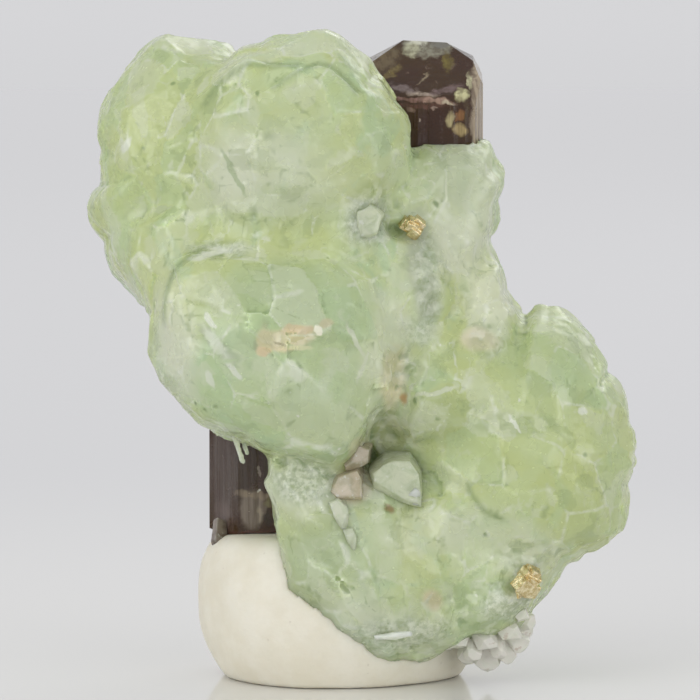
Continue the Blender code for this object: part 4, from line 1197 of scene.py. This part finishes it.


# Paler and clouded places on the tanzanite, and a painted sheen on its lower left faces: centre, radii, how soft,
# colour, strength
TANZANITE_MARK_GAIN = 1.55
TANZANITE_MARKS = [
    # Lighter greyish tone on the lower left faces: partly clouded stone, partly painted sheen.
    ((-4.7, -1.6, 12.0), (1.3, 2.0, 3.2), 0.5, (0.085, 0.070, 0.062), 0.8),
    ((-6.5, -0.8, 11.2), (0.8, 2.5, 3.0), 0.4, (0.108, 0.085, 0.076), 0.8),
    ((4.9, 1.4, 34.78), (1.40, 6.0, 0.72), 0.15, (0.26, 0.25, 0.185), 1.0, -4),
    ((4.3, 1.4, 34.9), (0.50, 6.0, 0.26), 0.4, (0.70, 0.70, 0.52), 0.9),
    ((4.0, 1.4, 34.45), (0.42, 6.0, 0.34), 0.4, (0.50, 0.50, 0.33), 0.8),
    ((5.6, 1.4, 34.7), (0.55, 6.0, 0.22), 0.4, (0.16, 0.155, 0.14), 0.8),
    ((2.1, 1.4, 33.9), (1.3, 6.0, 0.70), 0.3, (0.15, 0.115, 0.06), 0.9, 22),
    ((2.9, 1.4, 33.3), (0.55, 6.0, 0.22), 0.4, (0.24, 0.19, 0.06), 0.7, 35),
    ((5.95, 0.4, 33.75), (0.26, 6.0, 0.42), 0.5, (0.19, 0.155, 0.03), 0.85),
    ((3.5, 0.0, 32.42), (0.75, 6.0, 0.17), 0.5, (0.24, 0.19, 0.18), 0.85, -10),
    ((4.6, 0.0, 32.15), (0.80, 6.0, 0.13), 0.5, (0.52, 0.43, 0.34), 0.85, -4),
    ((5.7, 0.0, 32.35), (0.95, 6.0, 0.16), 0.5, (0.20, 0.14, 0.135), 0.85, 14),
    ((4.6, 0.0, 32.95), (0.40, 6.0, 0.07), 0.5, (0.34, 0.28, 0.18), 0.7, 40),
    ((4.0, -1.6, 31.85), (1.0, 2.0, 0.10), 0.5, (0.34, 0.20, 0.165), 0.85, -3),
    ((5.4, -1.6, 31.78), (0.95, 2.0, 0.14), 0.5, (0.42, 0.28, 0.21), 0.85, -7),
    ((5.9, -1.6, 31.68), (0.30, 2.0, 0.10), 0.4, (0.70, 0.58, 0.42), 0.8, -10),
    ((4.2, -1.6, 31.5), (1.4, 2.0, 0.14), 0.6, (0.14, 0.065, 0.045), 0.8),
    ((3.95, -1.6, 31.3), (0.20, 2.0, 0.12), 0.4, (0.34, 0.24, 0.18), 0.8),
    ((5.2, -1.6, 31.35), (0.16, 2.0, 0.08), 0.4, (0.40, 0.30, 0.24), 0.8),
    ((4.4, -1.6, 30.75), (0.08, 2.0, 0.12), 0.4, (0.62, 0.52, 0.42), 0.9),
    ((7.7, 1.5, 30.5), (0.55, 6.0, 4.2), 0.2, (0.46, 0.38, 0.27), 0.9),
    ((6.70, 0.0, 32.1), (0.38, 6.0, 0.32), 0.3, (0.66, 0.62, 0.34), 0.95, -20),
    ((7.15, 0.0, 32.8), (0.13, 6.0, 0.44), 0.4, (0.60, 0.58, 0.36), 0.9),
    ((6.95, -0.9, 31.2), (0.14, 2.0, 0.70), 0.4, (0.09, 0.06, 0.02), 0.8),
    ((6.05, -1.5, 30.75), (0.20, 2.0, 0.42), 0.4, (0.60, 0.52, 0.28), 0.9, -15),
    ((6.6, -1.5, 30.95), (0.26, 2.0, 0.28), 0.4, (0.42, 0.20, 0.07), 0.85),
    ((6.6, -1.5, 30.2), (0.42, 2.0, 0.30), 0.4, (0.62, 0.48, 0.22), 0.9, -20),
    ((-4.75, -1.6, 9.35), (0.72, 2.0, 1.05), 0.25, (0.27, 0.225, 0.185), 0.85),
    ((-4.6, -1.6, 10.15), (1.0, 2.0, 0.20), 0.35, (0.30, 0.24, 0.17), 0.8, -8),
    ((-4.3, -1.6, 9.0), (0.14, 2.0, 0.5), 0.4, (0.34, 0.29, 0.22), 0.9, 8),
    ((-3.8, -1.6, 9.65), (0.36, 2.0, 0.26), 0.35, (0.20, 0.18, 0.09), 0.9),
    ((-3.9, -1.6, 8.85), (0.34, 2.0, 0.36), 0.35, (0.03, 0.028, 0.02), 0.9),
    ((-4.4, -1.6, 10.35), (0.13, 2.0, 0.09), 0.3, (0.80, 0.70, 0.58), 1.0),
    ((-4.35, -1.6, 11.4), (0.07, 2.0, 0.30), 0.3, (0.50, 0.45, 0.38), 0.8),
    ((-4.4, -1.6, 13.0), (0.07, 2.0, 0.10), 0.3, (0.60, 0.54, 0.46), 0.9),
    ((-6.4, -0.8, 8.7), (0.50, 2.5, 1.0), 0.5, (0.17, 0.13, 0.115), 0.6),
    ((-5.0, -1.6, 8.1), (1.4, 2.0, 0.10), 0.3, (0.09, 0.04, 0.03), 0.9),
    ((2.5, 6.0, 31.5), (2.6, 1.5, 1.6), 0.5, (0.30, 0.25, 0.16), 0.7),
    ((-2.5, 6.0, 9.6), (2.0, 1.5, 1.3), 0.5, (0.19, 0.16, 0.13), 0.8),
]


def tanzanite_material():
    s = Shader("tanzanite_brown")
    stretched = s.vector("MULTIPLY", s.mm, (1.0, 1.0, 0.06))
    bent = s.warped(0.30, 1.9)
    stripes = s.ramp(s.noise(3.2, 3.0, 0.6, at=stretched), 0.36, 0.62, 0.45, 1.0)
    tint = s.mix(s.ramp(s.noise(0.5, 4.0, 0.6), 0.35, 0.65), (0.072, 0.034, 0.006), (0.066, 0.025, 0.010))
    streaked = s.vector("MULTIPLY", s.mm, (1.0, 1.0, 0.5))
    flaws = s.ramp(s.noise(1.2, 6.0, 0.65, 1.5, at=streaked), 0.60, 0.72, 0.0, 0.6)
    tint = s.mix(flaws, tint, (0.24, 0.17, 0.12))
    for centre, radii, soft, place_tint, strength, *slant in TANZANITE_MARKS:
        mask = s.math("MULTIPLY", s.mark(centre, radii, soft, bent, *slant), strength)
        bright = [min(1.0, TANZANITE_MARK_GAIN * part) for part in place_tint]
        tint = s.mix(s.math("MULTIPLY", mask, stripes), tint, bright)
    normal = s.bump(s.noise(3.0, 4.0, 0.6, at=stretched), 0.10, 0.5)
    normal = s.bump(s.noise(1.3, 4.0, 0.6), 0.12, 0.4, normal)
    rough = s.ramp(s.noise(1.6, 5.0, 0.65), 0.45, 0.75, 0.06, 0.32)
    return s.surface({
        "Base Color": tint, "Roughness": rough, "IOR": 1.69, "Normal": normal, "Transmission Weight": 0.4,
        "Specular IOR Level": 0.1,
    }, volume=((0.62, 0.40, 0.22), 500.0))


def small_crystal_material(finish):
    s = Shader(finish + "_small_crystal")
    light, dark = FINISHES[finish]
    cloud = s.ramp(s.noise(1.3, 6.0, 0.65, 0.8), 0.40, 0.66)
    colour = s.mix(cloud, light, dark)
    relief = s.attribute("relief")
    # Painted highlight: edges that stand out are whitened.
    colour = s.mix(s.ramp(relief, 0.6, 0.95, 0.0, 0.35), colour, WHITE)
    frost = s.ramp(s.noise(2.2, 5.0, 0.7), 0.58, 0.66, 0.0, 0.55)
    colour = s.mix(frost, colour, WHITE)
    normal = s.bump(s.noise(2.5, 4.0, 0.6), 0.08, 0.5)
    return s.surface({
        "Base Color": colour, "Roughness": 0.20, "IOR": 1.6, "Normal": normal, "Transmission Weight": 0.3,
        "Subsurface Weight": 1.0, "Subsurface Radius": (1.0, 1.0, 0.8), "Subsurface Scale": 0.0010,
    })


def clear_crystal_material():
    s = Shader("clear_crystal_grey")
    cloud = s.ramp(s.noise(1.1, 6.0, 0.65, 0.8), 0.42, 0.68)
    colour = s.mix(cloud, (1.0, 0.97, 0.90), (0.94, 0.95, 0.84))
    dirt = s.ramp(s.noise(1.7, 4.0, 0.6), 0.62, 0.72)
    colour = s.mix(s.math("MULTIPLY", dirt, 0.6), colour, (0.62, 0.46, 0.36))
    normal = s.bump(s.noise(2.5, 4.0, 0.6), 0.04, 0.4)
    return s.surface({
        "Base Color": colour, "Roughness": 0.22, "IOR": 1.54, "Normal": normal, "Transmission Weight": 0.3,
    })


def pyrite_material():
    s = Shader("pyrite_gold")
    tone = s.ramp(s.noise(4.0, 4.0, 0.6), 0.35, 0.7)
    colour = s.mix(tone, (0.60, 0.47, 0.22), (0.97, 0.87, 0.60))
    stain = s.ramp(s.noise(2.2, 4.0, 0.7), 0.57, 0.66, 0.0, 0.7)
    colour = s.mix(stain, colour, (0.16, 0.09, 0.03))
    stripes = s.noise(5.0, 3.0, 0.6, at=s.vector("MULTIPLY", s.mm, (0.4, 1.0, 1.6)))
    normal = s.bump(stripes, 0.10, 0.6)
    return s.surface({
        "Base Color": colour, "Roughness": 0.24, "Metallic": 0.92, "Normal": normal,
    })


def putty_material():
    s = Shader("putty_cream")
    tone = s.ramp(s.noise(0.35, 4.0, 0.6), 0.35, 0.7)
    colour = s.mix(tone, (0.80, 0.755, 0.62), (0.86, 0.825, 0.71))
    dust = s.ramp(s.cells(0.9, "F1", at=s.warped(0.3, 1.0)), 0.03, 0.09, 1.0, 0.0)
    colour = s.mix(s.math("MULTIPLY", dust, 0.25), colour, (0.50, 0.45, 0.35))
    relief = s.attribute("relief")
    # Painted shade: the putty's dents and creases are darkened.
    colour = s.mix(s.ramp(relief, 0.10, 0.45, 0.5, 0.0), colour, (0.56, 0.50, 0.38))
    normal = s.bump(s.noise(0.8, 5.0, 0.6), 0.18, 0.5)
    normal = s.bump(s.noise(5.0, 4.0, 0.6), 0.03, 0.5, normal)
    return s.surface({
        "Base Color": colour, "Roughness": 0.55, "Normal": normal, "Specular IOR Level": 0.35,
        "Subsurface Weight": 0.5, "Subsurface Radius": (1.0, 0.8, 0.55), "Subsurface Scale": 0.0008,
    })


# Pieces

def padded_box(low, high, margin):
    return np.array(low) - margin, np.array(high) + margin


def make_prehnite(material):
    points = np.concatenate([
        np.column_stack((outline[:, 0], np.full(len(outline), y), outline[:, 1]))
        for lobe in LOBES.values()
        for outline in [np.array(lobe["outline"])]
        for y in (lobe["centre"][1] - lobe["front"], lobe["centre"][1] + lobe["back"])
    ])
    grid = Grid(*padded_box(points.min(axis=0), points.max(axis=0), 0.9), PREHNITE_VOXEL)
    mesh = net_mesh("prehnite", prehnite_field(grid), grid, PREHNITE_TRIANGLES)
    store_plates(mesh, positions(mesh))
    store_relief(mesh, "relief", 6, 0.10)
    store_marks(mesh)
    return place("prehnite_balls", mesh, material, "prehnite_cluster", "prehnite")


def make_small_crystals():
    materials = {finish: small_crystal_material(finish) for finish in FINISHES}
    for number, (name, (outline, back, front, facing, finish)) in enumerate(BLOCK_CRYSTALS.items()):
        planes = block_planes(outline, back, front, facing, 420 + number)
        (left, low), (right, high) = np.min(outline, axis=0), np.max(outline, axis=0)
        box = padded_box(np.array((left, front, low)), np.array((right, back, high)), 0.4)
        make_small_crystal(name, planes, box, materials[finish], 520 + number)
    for number, (name, (root, tip, radius, thickness, sides, finish)) in enumerate(ROD_CRYSTALS.items()):
        planes = small_crystal_planes(root, tip, radius, thickness, sides, 400 + number)
        ends = np.array([root, tip])
        box = padded_box(ends.min(axis=0), ends.max(axis=0), radius + 0.3)
        make_small_crystal(name, planes, box, materials[finish], 500 + number)
    chip = small_crystal_planes(*FOOT_CHIP, 0.8, 5, 440)
    ends = np.array(FOOT_CHIP[:2])
    box = padded_box(ends.min(axis=0), ends.max(axis=0), 0.8)
    make_small_crystal("foot_corner_chip", chip, box, materials["smoky"], 540, "tanzanite")


def make_small_crystal(name, planes, box, material, seed, slot="clear_crystal"):
    grid = Grid(*box, SMALL_CRYSTAL_VOXEL)
    _, points = grid.window(grid.low - 1, [axis[-1] + 1 for axis in grid.axes])
    field = planes_field(points, planes) + 0.05 * waves(points, 1.2, seed)
    mesh = net_mesh(name, field, grid, 30000)
    store_relief(mesh, "relief", 4, 0.05)
    place(name, mesh, material, slot=slot)


def cut_to_planes(shape, planes):
    """Cuts the shape down to the solid that lies behind all the planes."""
    for point, outward in planes:
        normal = Vector(outward).normalized()
        geometry = shape.verts[:] + shape.edges[:] + shape.faces[:]
        cut = bmesh.ops.bisect_plane(
            shape, geom=geometry, plane_co=Vector(point), plane_no=normal, clear_outer=True
        )
        rim = [item for item in cut["geom_cut"] if isinstance(item, bmesh.types.BMEdge)]
        if rim:
            bmesh.ops.contextual_create(shape, geom=rim)
    bmesh.ops.recalc_face_normals(shape, faces=shape.faces[:])


def make_druse(material):
    druse = bpy.data.meshes.new("druse")
    for number, (root, tip, radius) in enumerate(DRUSE_CRYSTALS):
        shape = bmesh.new()
        middle = (Vector(root) + Vector(tip)) / 2
        bmesh.ops.create_cube(shape, size=12.0, matrix=Matrix.Translation(middle))
        cut_to_planes(shape, small_crystal_planes(root, tip, radius, 0.85, 6, 610 + number))
        bmesh.ops.bevel(
            shape, geom=shape.edges[:], offset=0.03, affect="EDGES", segments=1, profile=0.5, clamp_overlap=True
        )
        shape.from_mesh(druse)
        shape.to_mesh(druse)
        shape.free()
    place("clear_druse_crystals", druse, material, "clear_crystal_druse", "clear_crystal", smooth=False)


def make_tanzanite(material):
    """The prism with the fine upright grooves and chipped ends of the real one."""
    rng = np.random.default_rng(900)
    section = []
    for index, (x, y) in enumerate(PRISM_SECTION):
        after = PRISM_SECTION[(index + 1) % len(PRISM_SECTION)]
        length = math.dist((x, y), after)
        section.append((x, y))
        steps = int(length / 0.35)
        along = unit((after[0] - x, after[1] - y, 0))
        for step in range(1, steps):
            share = (step + rng.uniform(-0.3, 0.3)) / steps
            sink = rng.uniform(0.0, 0.07)
            section.append((
                x + (after[0] - x) * share - along[1] * sink, y + (after[1] - y) * share + along[0] * sink,
            ))
    shape = bmesh.new()
    base = shape.faces.new([shape.verts.new((x, y, 0.0)) for x, y in section])
    base.normal_update()
    pushed = bmesh.ops.extrude_face_region(shape, geom=[base])
    top = [item for item in pushed["geom"] if isinstance(item, bmesh.types.BMVert)]
    bmesh.ops.translate(shape, verts=top, vec=(0.0, 0.0, 40.0))
    bmesh.ops.recalc_face_normals(shape, faces=shape.faces[:])
    cut_to_planes(shape, CROWN_FACES + FOOT_FACES)
    bmesh.ops.triangulate(shape, faces=shape.faces[:])
    mesh = bpy.data.meshes.new("tanzanite")
    shape.to_mesh(mesh)
    shape.free()
    place("tanzanite_prism", mesh, material, "tanzanite_crystal", "tanzanite", smooth=False)


def make_pyrites(material):
    for number, (name, (centre, width, turn)) in enumerate(PYRITES.items()):
        rng = np.random.default_rng(950 + number)
        shape = bmesh.new()
        for _ in range(9):
            size = width * rng.uniform(0.32, 0.70)
            spin = Matrix.Identity(4)
            for degrees, axis in zip(turn, "XYZ"):
                spin = Matrix.Rotation(math.radians(degrees + rng.uniform(-14, 14)), 4, axis) @ spin
            shift = Vector(rng.uniform(-0.36, 0.36, 3) * width)
            made = bmesh.ops.create_cube(shape, size=size, matrix=Matrix.Translation(Vector(centre) + shift) @ spin)
            edges = list({edge for vertex in made["verts"] for edge in vertex.link_edges})
            bmesh.ops.bevel(shape, geom=edges, offset=0.05 * size, affect="EDGES", segments=1, profile=0.5)
        mesh = bpy.data.meshes.new(name)
        shape.to_mesh(mesh)
        shape.free()
        place(name + "_cubes", mesh, material, name, "pyrite", smooth=False)


def make_putty(material):
    low, high = (np.array(corner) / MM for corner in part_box("display_putty"))
    grid = Grid(*padded_box(low, high, 0.5), PUTTY_VOXEL)
    _, points = grid.window(grid.low - 1, [axis[-1] + 1 for axis in grid.axes])
    foot_share = PUTTY_FOOT_WIDTH / PUTTY_WIDTH
    foot_level = -((1 - foot_share**PUTTY_FULLNESS) ** (1 / PUTTY_FULLNESS))
    height_scale = PUTTY_BALL_HEIGHT / (1 - foot_level)
    z = points[..., 2] / height_scale + foot_level
    x = (points[..., 0] - PUTTY_LEAN * points[..., 2] / height_scale) / (PUTTY_WIDTH / 2)
    y = points[..., 1] / (PUTTY_DEPTH / 2)
    dent = 1 + PUTTY_DENT_SHARE * np.sin(3 * np.arctan2(y, x) + 0.8) * (1 - np.clip(z, -1, 1) ** 2)
    spread = (np.hypot(x, y) / dent) ** PUTTY_FULLNESS + np.abs(z) ** PUTTY_FULLNESS
    field = (spread ** (1 / PUTTY_FULLNESS) - 1) * PUTTY_WIDTH / 2
    field += 0.10 * waves(points, 6.0, 700) + 0.05 * waves(points, 2.5, 701)
    field = -blended(-field, PUTTY_HEIGHT - points[..., 2], 0.7)
    lobes = np.full(grid.shape, 3.0, dtype=np.float32)
    for number, name in enumerate(LOBES):
        if name in PRESSED_LOBES:
            lobes = blended(lobes, ball_field(points, number), LOBE_BLEND)
    field = -blended(-field, lobes + PUTTY_CONTACT, 0.2)
    field = np.maximum(field, 0.4 * CRYSTAL_CLEARANCE - crystal_field(points))
    field = np.maximum(field, -points[..., 2])
    mesh = net_mesh("putty", field, grid, 120000)
    points = positions(mesh)
    points[:, 2] = np.maximum(points[:, 2], 0)
    set_positions(mesh, points)
    store_relief(mesh, "relief", 8, 0.15)
    place("putty_lump", mesh, material, "display_putty", "putty")


# Stage

def make_floor():
    s = Shader("pale_glossy_floor")
    # Painted light: the floor is paler near the stone, darker further out and paler again far away, standing in for
    # how the lamps' light falls off across it.
    away = s.vector("LENGTH", s.vector("MULTIPLY", s.mm, (1.0, 1.0, 0.0)))
    colour = s.mix(s.ramp(away, 25.0, 120.0), (0.80, 0.795, 0.77), (0.665, 0.665, 0.67))
    colour = s.mix(s.ramp(away, 350.0, 900.0), colour, (0.715, 0.715, 0.72))
    material = s.surface({"Base Color": colour, "Roughness": 0.10, "IOR": 1.45})
    bpy.ops.mesh.primitive_circle_add(vertices=128, radius=2.0, fill_type="NGON", location=(0, 0, -0.00002))
    floor = bpy.context.object
    floor.name = "floor"
    floor.data.materials.append(material)


def add_light(name, place_mm, aim_mm, width_mm, height_mm, watts, colour=(1.0, 1.0, 1.0)):
    light = bpy.data.lights.new(name, "AREA")
    light.shape = "RECTANGLE"
    light.size = width_mm * MM
    light.size_y = height_mm * MM
    light.energy = watts
    light.color = colour
    obj = bpy.data.objects.new(name, light)
    obj.location = Vector(place_mm) * MM
    obj.rotation_euler = (Vector(aim_mm) - Vector(place_mm)).to_track_quat("-Z", "Y").to_euler()
    obj.visible_camera = False
    bpy.context.scene.collection.objects.link(obj)


def make_world():
    world = bpy.data.worlds.new("studio")
    world.use_nodes = True
    tree = world.node_tree
    background = tree.nodes["Background"]
    background.inputs["Color"].default_value = (0.70, 0.70, 0.715, 1.0)
    background.inputs["Strength"].default_value = 1.0
    bpy.context.scene.world = world


CAMERA_AIM = (0.6, 0.0, 18.0)
CAMERA_RANGE = 400.0
CAMERA_RISE = 5.0


def make_camera():
    data = bpy.data.cameras.new("camera")
    data.sensor_width = 36
    data.lens = 374
    data.clip_start = 0.01
    data.clip_end = 20
    camera = bpy.data.objects.new("camera", data)
    rise = math.radians(CAMERA_RISE)
    back = Vector((0, -math.cos(rise), math.sin(rise)))
    camera.location = (Vector(CAMERA_AIM) + back * CAMERA_RANGE) * MM
    camera.rotation_euler = (-back).to_track_quat("-Z", "Y").to_euler()
    bpy.context.scene.collection.objects.link(camera)
    bpy.context.scene.camera = camera


def main():
    bpy.context.scene.view_settings.view_transform = "Standard"
    make_prehnite(prehnite_material())
    clear = clear_crystal_material()
    make_small_crystals()
    make_druse(clear)
    make_tanzanite(tanzanite_material())
    make_pyrites(pyrite_material())
    make_putty(putty_material())
    make_floor()
    make_world()
    add_light("key", (-310, -290, 200), (0, 0, 12), 320, 280, 0.66)
    add_light("fill", (330, -330, 80), (0, 0, 12), 360, 220, 0.50)
    add_light("back", (160, 300, 260), (0, 0, 15), 260, 200, 0.25)
    make_camera()


main()
